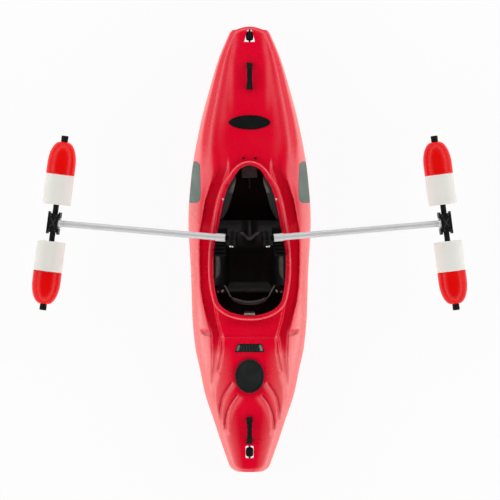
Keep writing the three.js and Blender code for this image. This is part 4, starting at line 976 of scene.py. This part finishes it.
# Rivets ahead of the cockpit and bolts on the rim's inner flank
RIVET_X, RIVET_Y = 0.035, 0.532
rivet = bolt_head(0.0052, 0.0035)
piece("deck_rivets", [(merged(*[on_surface(side * RIVET_X, RIVET_Y, rivet) for side in (-1, 1)]), BLACK)], "boat",
      bevel=0.0004)
RIM_BOLT_Y = 0.288
rim_bolts = []
for side in (-1, 1):
    target = (side * edge_at(RIM_BOLT_Y), RIM_BOLT_Y)
    nearest = min(range(EDGE_COUNT), key=lambda i: abs(EDGE[i, 0] - target[0]) + abs(EDGE[i, 1] - target[1]))
    (x, y), (out_x, out_y) = EDGE[nearest], EDGE_OUT[nearest]
    lean = leaned(Vector((-out_x * 0.2, -out_y * 0.2, 1)).normalized())
    place = put(x + out_x * 0.0066, y + out_y * 0.0066, rim_height(y) - 0.0147) @ lean
    rim_bolts.append(moved(bolt_head(0.0046, 0.004), place))
piece("rim_bolts", [(merged(*rim_bolts), BRIGHT)], "boat", bevel=0.0004)

# ---------------------------------------------------------------- fittings on the deck


def round_layer(outline, profile, centre):
    """A closed button on the deck: rings of share and thickness from the middle out, then its underside."""
    shares = np.array([share for share, _ in profile])[:, None, None]
    spots = np.array(centre) + (outline[None] - np.array(centre)) * shares
    place, up = deck_frame(spots[..., 0], spots[..., 1])
    top = place + up * (TIGHT + np.array([thick for _, thick in profile])[:, None, None])
    points, faces = rings(top, caps=False)
    return points, [*faces, tuple(range(len(outline)))[::-1], tuple(range(len(points) - len(outline), len(points)))]


def pointed_oval(half_length, half_width, middle):
    """An oval whose ends to port and starboard are slightly pointed."""
    angle = circle(96)
    swell = np.sign(np.sin(angle)) * np.abs(np.sin(angle)) ** 1.18
    return np.c_[half_length * np.cos(angle), middle + half_width * swell]


PAD_Y = 0.74
pad_profile = [(0.02, 0.0036), (0.3, 0.0036), (0.6, 0.0035), (0.8, 0.0034), (0.885, 0.0033), (0.897, 0.002),
               (0.915, 0.002), (0.927, 0.0033), (0.965, 0.0031), (0.99, 0.0018), (1, 0.0)]
piece("bow_pad", [(round_layer(pointed_oval(0.1235, 0.042, PAD_Y), pad_profile, (0, PAD_Y)), RUBBER)], "boat",
      ["bow_deck_pad"])


def carrying_handle(name, node_name, middle, ribs, waist):
    """A moulded strap handle: an arch on two feet, with ribs across its grip and a screw in each foot."""
    half, width, thick, corner, inset = 0.078, 0.019, 0.009, 0.0028, 0.0135

    def arch(crown, t):
        return crown + thick + 0.0297 * (1 - abs(t) ** 3) ** 0.8

    rows = []
    for t in np.linspace(-1, 1, 161):
        y = middle + t * half
        crown = float(deck_height(0.0, y))
        top = arch(crown, t)
        under = top - thick
        low = under + (crown + TIGHT - under) * smooth(abs(t) * half, half - 0.034, half - 0.026)
        wave = (1 - smooth(abs(t), 0.52, 0.62)) * 0.5 * (1 + math.cos(math.pi * 2 * ribs * t))
        wide = width * (waist + (1 - waist) * abs(t) ** 1.6) - 0.0011 * wave
        high = top - 0.0012 * wave
        section = []
        for cx, cz, a0 in ((wide - corner, high - corner, 0), (corner - wide, high - corner, 90)):
            section += [(cx + corner * math.cos(a), cz + corner * math.sin(a))
                        for a in map(math.radians, range(a0, a0 + 91, 30))]
        section += [(-wide, low + 0.001), (0.001 - wide, low), (wide - 0.001, low), (wide, low + 0.001)]
        rows.append([(x, y, z) for x, z in section])
    screws = []
    for end in (-1, 1):
        y = middle + end * (half - inset)
        top = arch(float(deck_height(0.0, y)), (half - inset) / half)
        screws.append(moved(bolt_head(0.0052, 0.0032), put(0, y, top - 0.0009) @ spin(-end * 0.3, "X")))
    piece(name, [(rings(rows), RUBBER), (merged(*screws), BLACK)], "boat", [node_name], sharp=50)


carrying_handle("bow_carry_handle", "bow_handle", 1.009, 7, 0.8)
carrying_handle("stern_carry_handle", "stern_handle", -1.055, 11, 0.78)


def toggle(name, node_name, middle, grooves):
    """A rounded rubber grip on a steel pin through the hole."""
    centre_z = float(deck_height(0.0, middle)) - 0.03
    rows = []
    for t in np.linspace(-1, 1, 61):
        bulge = max(1 - abs(t) ** 5, 0) ** 0.4
        groove = 0.0016 * sum(math.exp(-((t - g) / 0.045) ** 2) for g in grooves)
        wide, tall = 0.0221 * bulge - groove, 0.0298 * bulge - groove
        rows.append([(wide * signed_power(math.cos(a), 0.8), middle + 0.0282 * t,
                      centre_z + tall * signed_power(math.sin(a), 0.8)) for a in circle(40)])
    pin = moved(lathe([(0, -0.0356), (0.006, -0.0356), (0.006, 0.0356), (0, 0.0356)], 24), put(0, middle, centre_z))
    piece(name, [(rings(rows[1:-1]), RUBBER), (pin, STEEL)], "boat", [node_name], sharp=45)


toggle("bow_toggle", "bow_grab_toggle", BOW_Y, (-0.45, 0, 0.45))
toggle("stern_toggle", "stern_grab_toggle", STERN_Y, (-0.5, 0, 0.5))

# The ribbed strip behind the cockpit, with a grey block at each end; u runs from its rear to its front, v from port
# to starboard
STRIP_Y, STRIP_HALF = -0.574, 0.0245
STRIP_RIBS = 8.5


def strip_width(u):
    return 0.086 + (0.069 - 0.086) * u


def strip_block(u, v):
    return (np.abs(np.abs(v) - 0.85) / 0.1) ** 3 + (np.abs(2 * u - 1) / 0.76) ** 3 < 1


def strip_point(u, v):
    return v * strip_width(u), STRIP_Y - STRIP_HALF + 2 * STRIP_HALF * u


def strip_thickness(u, v):
    edge = np.minimum(np.minimum(smooth(u, 0, 0.06), smooth(1 - u, 0, 0.06)), smooth(1 - np.abs(v), 0, 0.03))
    end = smooth(np.abs(v), 0.72, 0.78)
    wave = (0.5 + 0.5 * np.cos(2 * math.pi * v * STRIP_RIBS)) ** 0.7
    rib = wave * smooth(u, 0.08, 0.16) * smooth(1 - u, 0.08, 0.16)
    return edge * (0.0022 + 0.0034 * ((1 - end) * rib + end * 0.6) + 0.0014 * strip_block(u, v))


def strip_share(middles):
    u = (middles[:, 1] - STRIP_Y + STRIP_HALF) / (2 * STRIP_HALF)
    return u, middles[:, 0] / strip_width(u)


def on_strip_rib(middles):
    u, v = strip_share(middles)
    return (np.cos(2 * math.pi * v * STRIP_RIBS) > 0.55) & (np.abs(v) < 0.73) & (np.abs(2 * u - 1) < 0.78)


strip = draped(np.linspace(0, 1, 37), np.linspace(-1, 1, 273), strip_point, strip_thickness)
strip = piece("stern_strip", [(strip, RUBBER)], "boat", ["rear_deck_strip"], sharp=50)
paint(strip, END_GREY, lambda middles: strip_block(*strip_share(middles)))
paint(strip, RIB_GREY, on_strip_rib)

def patch_thickness(u, v):
    corner = np.abs(2 * u - 1) ** 12 + np.abs(2 * v - 1) ** 5
    return 0.0023 * smooth(1 - corner, 0, 0.45) + 0.00001


# The grained patches on the boat's sides, whose inner edge runs nearly straight
PATCH_Y, PATCH_HALF_LENGTH, PATCH_WIDTH = 0.393, 0.121, 0.066
for name, side in LEFT_RIGHT:
    def patch_point(u, v, side=side):
        """u from its rear to its front, v from inside to outside."""
        y = PATCH_Y + PATCH_HALF_LENGTH * (2 * u - 1)
        half = lines(y)[0]
        inner = np.maximum(half - PATCH_WIDTH, 0.2835 + 0.006 * u) + 0.022 * np.abs(2 * u - 1) ** 14
        return side * (inner + (half - 0.002 - inner) * v), y

    body = draped(np.linspace(0, 1, 81), np.linspace(0, 1, 25), patch_point, patch_thickness)
    piece(f"grip_patch_{name}", [(body, GREY_RUBBER)], "boat", [f"side_patch_{name}"])

# The hatch cover: a domed disc with a raised ring and a skirt
hatch_profile = [
    (0.3, 0.0141), (0.6, 0.0135), (0.8, 0.0128), (0.855, 0.0124), (0.865, 0.0112), (0.885, 0.0112), (0.895, 0.0138),
    (0.93, 0.0149), (0.965, 0.0146), (0.99, 0.0125), (1, 0.009), (1, -0.018),
]
rows = [[(0.0845 * share * math.cos(a), 0.099 * share * math.sin(a), height) for a in circle(96)]
        for share, height in hatch_profile]
hatch_mesh = as_shape(carved(moved(rings(rows), HATCH_FRAME), [
    ("DIFFERENCE", hatch_column(*HATCH_CLEAR, -0.06, 0.0093)),
    ("DIFFERENCE", moved(outer, put(0, 0, TIGHT))),
]))
piece("hatch_lid", [(hatch_mesh, HATCH_RUBBER)], "hatch", ["hatch_cover"], sharp=40)

# ---------------------------------------------------------------- inside the cockpit

SEAT_FRONT, SEAT_LENGTH, SEAT_HALF = 0.172, 0.425, 0.213
V_SLOPE, V_TIP = 2.1, 0.726
WING = ((0, 0.86), (0.14, 0.93), (0.3, 1), (0.5, 0.95), (0.62, 0.62), (0.8, 0.3), (1, 0.24))


def seat_point(across, back, lift=0.0):
    across, back = np.broadcast_arrays(across, back)
    wing = 0.215 * along(WING, back) * smooth(np.abs(across), 0.5, 1.04)
    front = 0.062 * smooth(back, 0.58, 1)
    rear = 0.034 * (1 - smooth(back, 0, 0.16))
    pommel = 0.038 * np.exp(-((across / 0.13) ** 2)) * smooth(back, 0.62, 0.8)
    height = 0.0143 + np.maximum(wing, front + rear) + pommel + lift
    return np.stack([across * SEAT_HALF, SEAT_FRONT - SEAT_LENGTH * (1 - back), height], -1)


def seat_detail(across, back):
    """Shallow moulded channels, a raised lip round the seat's edge and two ridges that meet in a V on the pommel."""
    channel = sum(np.exp(-((across - c) / 0.018) ** 2) for c in (-0.34, 0.34)) * smooth(back, 0.12, 0.2)
    channel = channel * (1 - smooth(back, 0.55, 0.64))
    dish = sum(np.exp(-(((across - c) / 0.2) ** 2 + ((back - 0.3) / 0.18) ** 2)) for c in (-0.26, 0.26))
    lip = np.minimum(smooth(np.abs(across), 0.965, 0.985) + smooth(back, 0.975, 0.99), 1)
    ridge = np.exp(-((np.abs(across) - V_SLOPE * (back - V_TIP)) / 0.05) ** 2) * smooth(back, 0.7, 0.73)
    ridge = ridge * (1 - smooth(back, 0.81, 0.85))
    return 0.0016 * lip - 0.0016 * channel - 0.0022 * dish + 0.004 * ridge


across, back = np.meshgrid(np.linspace(-1, 1, 121), np.linspace(0, 1, 91))
seat = sheet_pair(seat_point(across, back, seat_detail(across, back)), seat_point(across, back, -0.008))
shell = piece("seat_shell", [(seat, SEAT_BLACK)], "boat", ["seat_pan"], sharp=40)


def on_pommel_ridge(middles):
    across = np.abs(middles[:, 0]) / SEAT_HALF
    back = 1 - (SEAT_FRONT - middles[:, 1]) / SEAT_LENGTH
    return (np.abs(across - V_SLOPE * (back - V_TIP)) < 0.06) & (back > 0.72) & (back < 0.835)


# Painted highlight: the V ridges on the pommel get the light grey
paint(shell, SEAT_HIGHLIGHT, on_pommel_ridge)


HOOK_Y, HOOK_HALF_LENGTH, HOOK_THICKNESS = 0.3, 0.125, 0.009


# The faces of a hook's front part, which get the painted highlight
def on_hook_highlight(middles):
    x, y, _ = middles.T
    return (y > 0.33) & (y < 0.405) & (np.abs(x) < edge_at(y) - 0.02)


for name, side in LEFT_RIGHT:
    # Hip pads: crowned foam cushions with pointed ends against the seat's wings
    u, v = np.meshgrid(np.linspace(0, 1, 41), np.linspace(0, 1, 61))
    waist = np.sqrt(np.clip(1 - np.abs(2 * v - 1) ** 2.4, 0, 1))
    back = 0.2 + 0.36 * v
    place = seat_point(side * (0.985 - 0.12 * waist * (1 - u) - 0.012), back)
    slope = seat_point(side * (0.99 - 0.12 * waist * (1 - u)), back) - place
    lean = np.stack([-side * np.abs(slope[..., 2]), 0 * u, np.abs(slope[..., 0])], -1)
    lean = lean / np.linalg.norm(lean, axis=-1, keepdims=True)
    crown = np.clip((1 - np.abs(2 * u - 1) ** 5) * (1 - np.abs(2 * v - 1) ** 6), 0, 1) ** 0.42
    base = place + lean * 0.0012
    pad = piece(f"hip_cushion_{name}", [(sheet_pair(base + lean * (0.003 + 0.012 * crown)[..., None], base), FOAM)],
                "boat", [f"hip_pad_{name}"], sharp=60)

    # Thigh braces: hooks under the front of the coaming, faced with foam
    t, part = np.meshgrid(np.linspace(0, 1, 25), np.linspace(-1, 1, 81))
    y = HOOK_Y + HOOK_HALF_LENGTH * part
    x = side * (edge_at(y) - 0.0006 - 0.04 * (1 - 0.75 * np.abs(part) ** 3) * t)
    z = rim_height(y) - FLANK_DROP - 0.009 - 0.026 * t * t
    ease = 0.0042 * (1 - (1 - smooth(t, 0.82, 1)) * (1 - smooth(np.abs(part), 0.93, 1)))
    hook = sheet_pair(np.stack([x, y, z - ease], -1), np.stack([x, y, z - HOOK_THICKNESS + ease], -1))
    hook = piece(f"thigh_hook_{name}", [(hook, HOOK_FOAM)], "boat", [f"thigh_brace_{name}"], sharp=60)
    paint(hook, HOOK_HIGHLIGHT, on_hook_highlight)

# The backband: a padded middle with sewn channels, and ladder straps at its ends
BAND_HEIGHT, BAND_HALF_SPAN, BAND_END_Y, BAND_SAG = 0.205, 0.15, -0.25, 0.062
PAD_SHARE = 0.72


def band_point(t):
    return Vector((t * BAND_HALF_SPAN, BAND_END_Y - BAND_SAG * (1 - abs(t) ** 2.2), BAND_HEIGHT))


def band_frame(t):
    way = (band_point(t + 0.01) - band_point(t - 0.01)).normalized()
    return band_point(t), Vector((way.y, -way.x, 0)), Vector((0, 0, 1))


rows = []
for t in np.linspace(-PAD_SHARE, PAD_SHARE, 97):
    centre, out, up = band_frame(t)
    share = abs(t) / PAD_SHARE
    height = 0.059 * (1 - 0.62 * smooth(share, 0.8, 1)) * (1 - 0.12 * max(share - 0.97, 0) / 0.03)
    thick = 0.0105 * (1 - share ** 7) ** 0.5 + 0.0012
    section = []
    for a in circle(64):
        up_share = signed_power(math.sin(a), 0.62)
        out_share = signed_power(math.cos(a), 0.5)
        seams = sum(math.exp(-((up_share - s) / 0.035) ** 2) for s in (-0.45, 0, 0.45))
        seams = max(seams * smooth(1 - share, 0.1, 0.16), math.exp(-((share - 0.88) / 0.012) ** 2))
        crown = thick * (0.82 - 0.18 * math.cos(up_share * 4 * math.pi)) - 0.0035 * seams
        section.append(tuple(centre + out * crown * out_share + up * height * up_share))
    rows.append(section)
band = piece("band_pad", [(rings(rows), BAND_CLOTH)], "boat", ["backband"], sharp=60)

LADDER_SECTION = ((-1, -0.86), (-1, 0.86), (-0.5, 1), (0.5, 1), (1, 0.86), (1, -0.86), (0.5, -1), (-0.5, -1))
STRAP_START, RUNG_PITCH = 0.66, 0.0135
straps = []
for side in (-1, 1):
    rows = []
    for t in np.linspace(STRAP_START, 0.998, 61):
        centre, out, up = band_frame(side * t)
        wave = 0.5 + 0.5 * math.cos(2 * math.pi * (t - STRAP_START) / RUNG_PITCH)
        rung = 0.0009 * wave * smooth(t, 0.73, 0.75)
        half, thick = 0.0122, 0.0014 + rung
        rows.append([tuple(centre + out * o * thick + up * u * half) for o, u in LADDER_SECTION])
    straps.append(rings(rows))
piece("ladder_straps", [(merged(*straps), BLACK)], "boat", ["backband"])

RATCHET_RIVETS = ((0.184, -0.2435, 0.1984, 0.006), (0.1565, -0.2445, 0.2124, 0.0014))  # place and height
PULL_STRAP_ENDS = ((0.1455, -0.209), (0.1045, -0.286))
STRAP_SECTION = ((-0.0042, 0.006), (0.0042, 0.006), (0.0042, 0.008), (-0.0042, 0.008))

for name, side in LEFT_RIGHT:
    rivets = [moved(lathe([(0, 0), (0.0088, 0), (0.0088, tall - 0.0006), (0.0074, tall), (0, tall)], 28),
                    put(side * px, py, pz) @ turn(90, "X")) for px, py, pz, tall in RATCHET_RIVETS]
    refined(f"ratchet_buckle_{name}", f"ratchet_body_{name}", BLACK, "boat", 0.0011, extra=[(rivets[0], BRIGHT)])
    refined(f"ratchet_lever_{name}", f"ratchet_handle_{name}", BLACK, f"lever_{name}", 0.0008,
            extra=[(rivets[1], BRIGHT)])
    strap = [[(side * px + push, py, BAND_HEIGHT + up) for push, up in STRAP_SECTION]
             for px, py in PULL_STRAP_ENDS]
    piece(f"pull_strap_{name}", [(rings(strap), TAB_GREY)], "boat")
    refined(f"foot_rail_{name}", f"foot_track_{name}", ALUMINIUM, "boat", 0.0015)
    refined(f"foot_pedal_{name}", f"foot_rest_{name}", BLACK, f"pedal_{name}", 0.0025)

refined("bow_pillar", "bow_foam", PILLAR_FOAM, "boat", 0.004)
refined("stern_pillar", "stern_foam", PILLAR_FOAM, "boat", 0.004)

# A grey pull tab on the inside of the coaming's rear
TAB_SECTION = ((-0.031, 0), (0.031, 0), (0.032, 0.001), (0.031, 0.002), (-0.031, 0.002), (-0.032, 0.001))
tab_y = COCKPIT_FRONT - COCKPIT_LENGTH
tab_rows = []
for t in np.linspace(0, 1, 13):
    z = rim_height(tab_y) - 0.012 - 0.045 * t
    out = 0.0018 + 0.02 * t * (1 - 0.5 * t)
    tab_rows.append([(x, tab_y + out + thick, z) for x, thick in TAB_SECTION])
piece("rear_tab", [(rings(tab_rows), TAB_GREY)], "boat", sharp=50)

# ---------------------------------------------------------------- the outriggers

PIVOT = next(Vector(j["pos_m"]) for j in frame["record"]["behaviour"]["joints"] if j["name"] == "arm_tilt_right")


def frames(side):
    """The matrices of an outrigger's pivot, arm and hub."""
    turned = ARM_SWEEP if side > 0 else math.pi - ARM_SWEEP
    pivot = put(side * PIVOT.x, PIVOT.y, PIVOT.z) @ spin(turned, "Z")
    arm = pivot @ spin(ARM_DROOP, "Y")
    hub = arm @ put(ARM_REACH, 0, 0) @ spin(side * HUB_SKEW, "Z")
    return pivot, arm, hub


def pipe(outer_radius, inner_radius, start, end, edge=0.0008):
    """A tube along X with eased rims."""
    profile = [(inner_radius, start + edge), (inner_radius + edge, start), (outer_radius - edge, start),
               (outer_radius, start + edge), (outer_radius, end - edge), (outer_radius - edge, end),
               (inner_radius + edge, end), (inner_radius, end - edge)]
    return moved(lathe(profile + profile[:1]), turn(-90, "Z"))


def float_profile():
    """The white half and the red dome, with a recessed base, a moulded seam and a collar at the tip."""
    base, radius, edge, bore, inside = FLOAT_BASE, FLOAT_RADIUS, 0.007, 0.0172, FLOAT_RADIUS - 0.0032
    white = [(bore, base + 0.004), (bore, base), (0.03, base), (0.031, base + 0.0015), (0.034, base + 0.0015),
             (0.035, base), (radius - edge, base)]
    for a in np.linspace(0.2, math.pi / 2, 8):
        white.append((radius - edge + edge * math.sin(a), base + edge - edge * math.cos(a)))
    joint = FLOAT_JOINT
    white += [(radius, base + 0.06), (radius, base + 0.12), (radius, joint - 0.003), (radius - 0.0006, joint - 0.0012),
              (radius - 0.0016, joint - 0.0004), (inside, joint - 0.0002), (inside, base + 0.02),
              (bore, base + 0.008)]
    start = joint + 0.0003
    red = [(inside, start), (radius - 0.0018, start + 0.0001), (radius - 0.0006, start + 0.001),
           (radius, start + 0.0028)]
    dome, tip = 0.138, 0.023
    for t in np.linspace(0, 1, 33):
        red.append((tip + (radius - tip) * (1 - t ** 2.2) ** 0.55, FLOAT_END - dome + dome * t))
    red += [(0.0215, FLOAT_END), (bore, FLOAT_END - 0.0008), (bore, FLOAT_END - 0.01), (0.06, FLOAT_END - 0.06),
            (inside, FLOAT_END - 0.13)]
    return white + white[:1], red + red[:1]


WHITE_PROFILE, RED_PROFILE = float_profile()


def knob_shape():
    """A rubber end knob with grip flutes round it and a dimple in its end."""
    start, length, radius = FLOAT_END + 0.0003, 0.036, 0.0205
    rows = []
    for share, place in ((0.84, 0), (0.97, 0.0012), (1, 0.0035), (1, 0.009), (0.93, 0.0105), (0.93, 0.012), (1, 0.0135),
                         (1, 0.031), (0.97, 0.0338), (0.88, 0.0355), (0.78, 0.036), (0.4, 0.036), (0.36, 0.0345)):
        ring = []
        for k in range(72):
            angle = 2 * math.pi * k / 72
            flute = 0.0011 * (0.5 + 0.5 * math.cos(18 * angle)) * (1 if 0.008 < place < 0.034 else 0)
            r = radius * share - flute
            ring.append((r * math.cos(angle), start + place, -r * math.sin(angle)))
        rows.append(ring)
    return rings(rows)


def rod_shape():
    """A moulded rod with eight flutes along it and eased ends."""
    ring = []
    for k in range(128):
        angle = 2 * math.pi * k / 128
        radius = ROD_RADIUS - 0.0024 * smooth(math.cos(8 * angle + math.pi), -0.1, 0.55)
        ring.append((radius * math.cos(angle), radius * math.sin(angle)))
    ends = ((0.95, -ROD_HALF_LENGTH), (1, -ROD_EASED), (1, ROD_EASED), (0.95, ROD_HALF_LENGTH))
    return rings([[(x * ease, y, z * ease) for x, z in ring] for ease, y in ends])


SADDLE_REAR, SADDLE_FRONT, SADDLE_LENGTH, SADDLE_RIBS = -0.039, 0.131, 0.17, 8


def saddle_shape(side):
    """The bracket's body: rounded ribs across its top between the cockpit's edge and the yoke."""
    t, y = np.meshgrid(np.linspace(0, 1, 17), np.linspace(SADDLE_REAR, SADDLE_FRONT, 137))
    near = PIVOT.x + 0.0333 / math.cos(ARM_SWEEP) - (y - PIVOT.y) * math.tan(ARM_SWEEP)
    x = side * (near + (edge_at(y) - 0.0007 - near) * t)
    rib = smooth(0.5 - 0.5 * np.cos(2 * math.pi * (y - SADDLE_REAR) / SADDLE_LENGTH * SADDLE_RIBS), 0.15, 0.7)
    ease = smooth(y, SADDLE_REAR, -0.034) * (1 - smooth(y, 0.126, SADDLE_FRONT))
    ease = ease * smooth(t, 0, 0.08) * (1 - smooth(t, 0.94, 1))
    top = rim_height(y) - 0.008 - 0.006 * (1 - rib) - 0.003 * (1 - ease)
    return sheet_pair(np.stack([x, y, top], -1), np.stack([x, y, rim_height(y) - 0.07], -1))


SHANK_END = 0.0434
SLEEVE_START = 0.037
HUB_FACE = 0.031
hub_bolt = bolt_head(0.0042, 0.003)
cross_bar = block((-0.03, -0.0022, -0.0004), (0.03, 0.0022, 0.0014))

for name, side in LEFT_RIGHT:
    pivot, arm, hub = frames(side)
    piece(f"saddle_{name}", [(saddle_shape(side), MOUNT_BLACK)], "boat", [f"mount_saddle_{name}"], sharp=50)
    refined(f"arm_yoke_{name}", f"yoke_{name}", MOUNT_BLACK, "boat", 0.0022)
    shank = [(0, -SHANK_END), (0.0058, -SHANK_END), (0.0058, SHANK_END), (0, SHANK_END)]
    nut = [(0, 0.0436), (0.0129, 0.0436), (0.0127, 0.0442), (0.0127, 0.0498), (0.0108, 0.0508), (0, 0.0508)]
    head = [(radius, -place) for radius, place in nut]
    # Painted shade: one end of each hinge bolt is black and the other bright, the black end being the one in shade
    ends = (BLACK, BRIGHT) if side < 0 else (BRIGHT, BLACK)
    piece(f"hinge_bolt_{name}", [(lathe(shank, 24), STEEL), (lathe(head, 48), ends[0]), (lathe(nut, 48), ends[1])],
          "boat", [f"pivot_bolt_{name}"], matrix=pivot)
    refined(f"arm_knuckle_{name}", f"knuckle_{name}", MOUNT_BLACK, f"arm_{name}", 0.0015)
    far_x = max((arm.inverted() @ v.co).x for v in frame["nodes"][f"arm_tube_{name}"].data.vertices)
    piece(f"tube_{name}", [(pipe(TUBE_RADIUS, TUBE_RADIUS - 0.0025, SLEEVE_START, far_x), ALUMINIUM)], f"arm_{name}",
          [f"arm_tube_{name}"], matrix=arm)
    sleeve = pipe(TUBE_RADIUS + 0.004, TUBE_RADIUS + 0.0003, SLEEVE_START, 0.095, edge=0.0014)
    piece(f"sleeve_{name}", [(sleeve, ALUMINIUM)], f"arm_{name}", [f"arm_sleeve_{name}"], matrix=arm)
    refined(f"arm_flange_{name}", f"flange_{name}", BRIGHT, f"arm_{name}", 0.001)

    hub_body = f"hub_{name}"
    face = hub @ put(0, 0, HUB_FACE)
    extra = [(moved(hub_bolt, hub @ put(px, py, HUB_FACE)), RIB_GREY)
             for px in (-0.018, 0.018) for py in (-0.043, 0.043)]
    extra += [(moved(cross_bar, face @ turn(angle, "Z")), RIB_GREY) for angle in (58, 122)]
    refined(f"hub_body_{name}", f"hub_block_{name}", BLACK, hub_body, 0.0022, extra=extra)
    refined(f"hub_plate_{name}", f"hub_clamp_{name}", BLACK, hub_body, 0.002)
    piece(f"fluted_rod_{name}", [(rod_shape(), BLACK)], hub_body, [f"axle_rod_{name}"], matrix=hub, sharp=30)
    for end, way in (("front", side), ("rear", -side)):
        place = hub @ spin(0 if way > 0 else math.pi, "Z")
        piece(f"float_{end}_{name}_white", [(lathe(WHITE_PROFILE, 96), FLOAT_WHITE)], f"float_{end}_{name}",
              [f"float_{end}_shell_{name}"], matrix=place)
        piece(f"float_{end}_{name}_red", [(lathe(RED_PROFILE, 96), FLOAT_RED)], f"float_{end}_{name}",
              [f"float_{end}_nose_{name}"], matrix=place)
        piece(f"knob_{end}_{name}", [(knob_shape(), RUBBER)], hub_body, [f"rod_knob_{end}_{name}"], matrix=place)
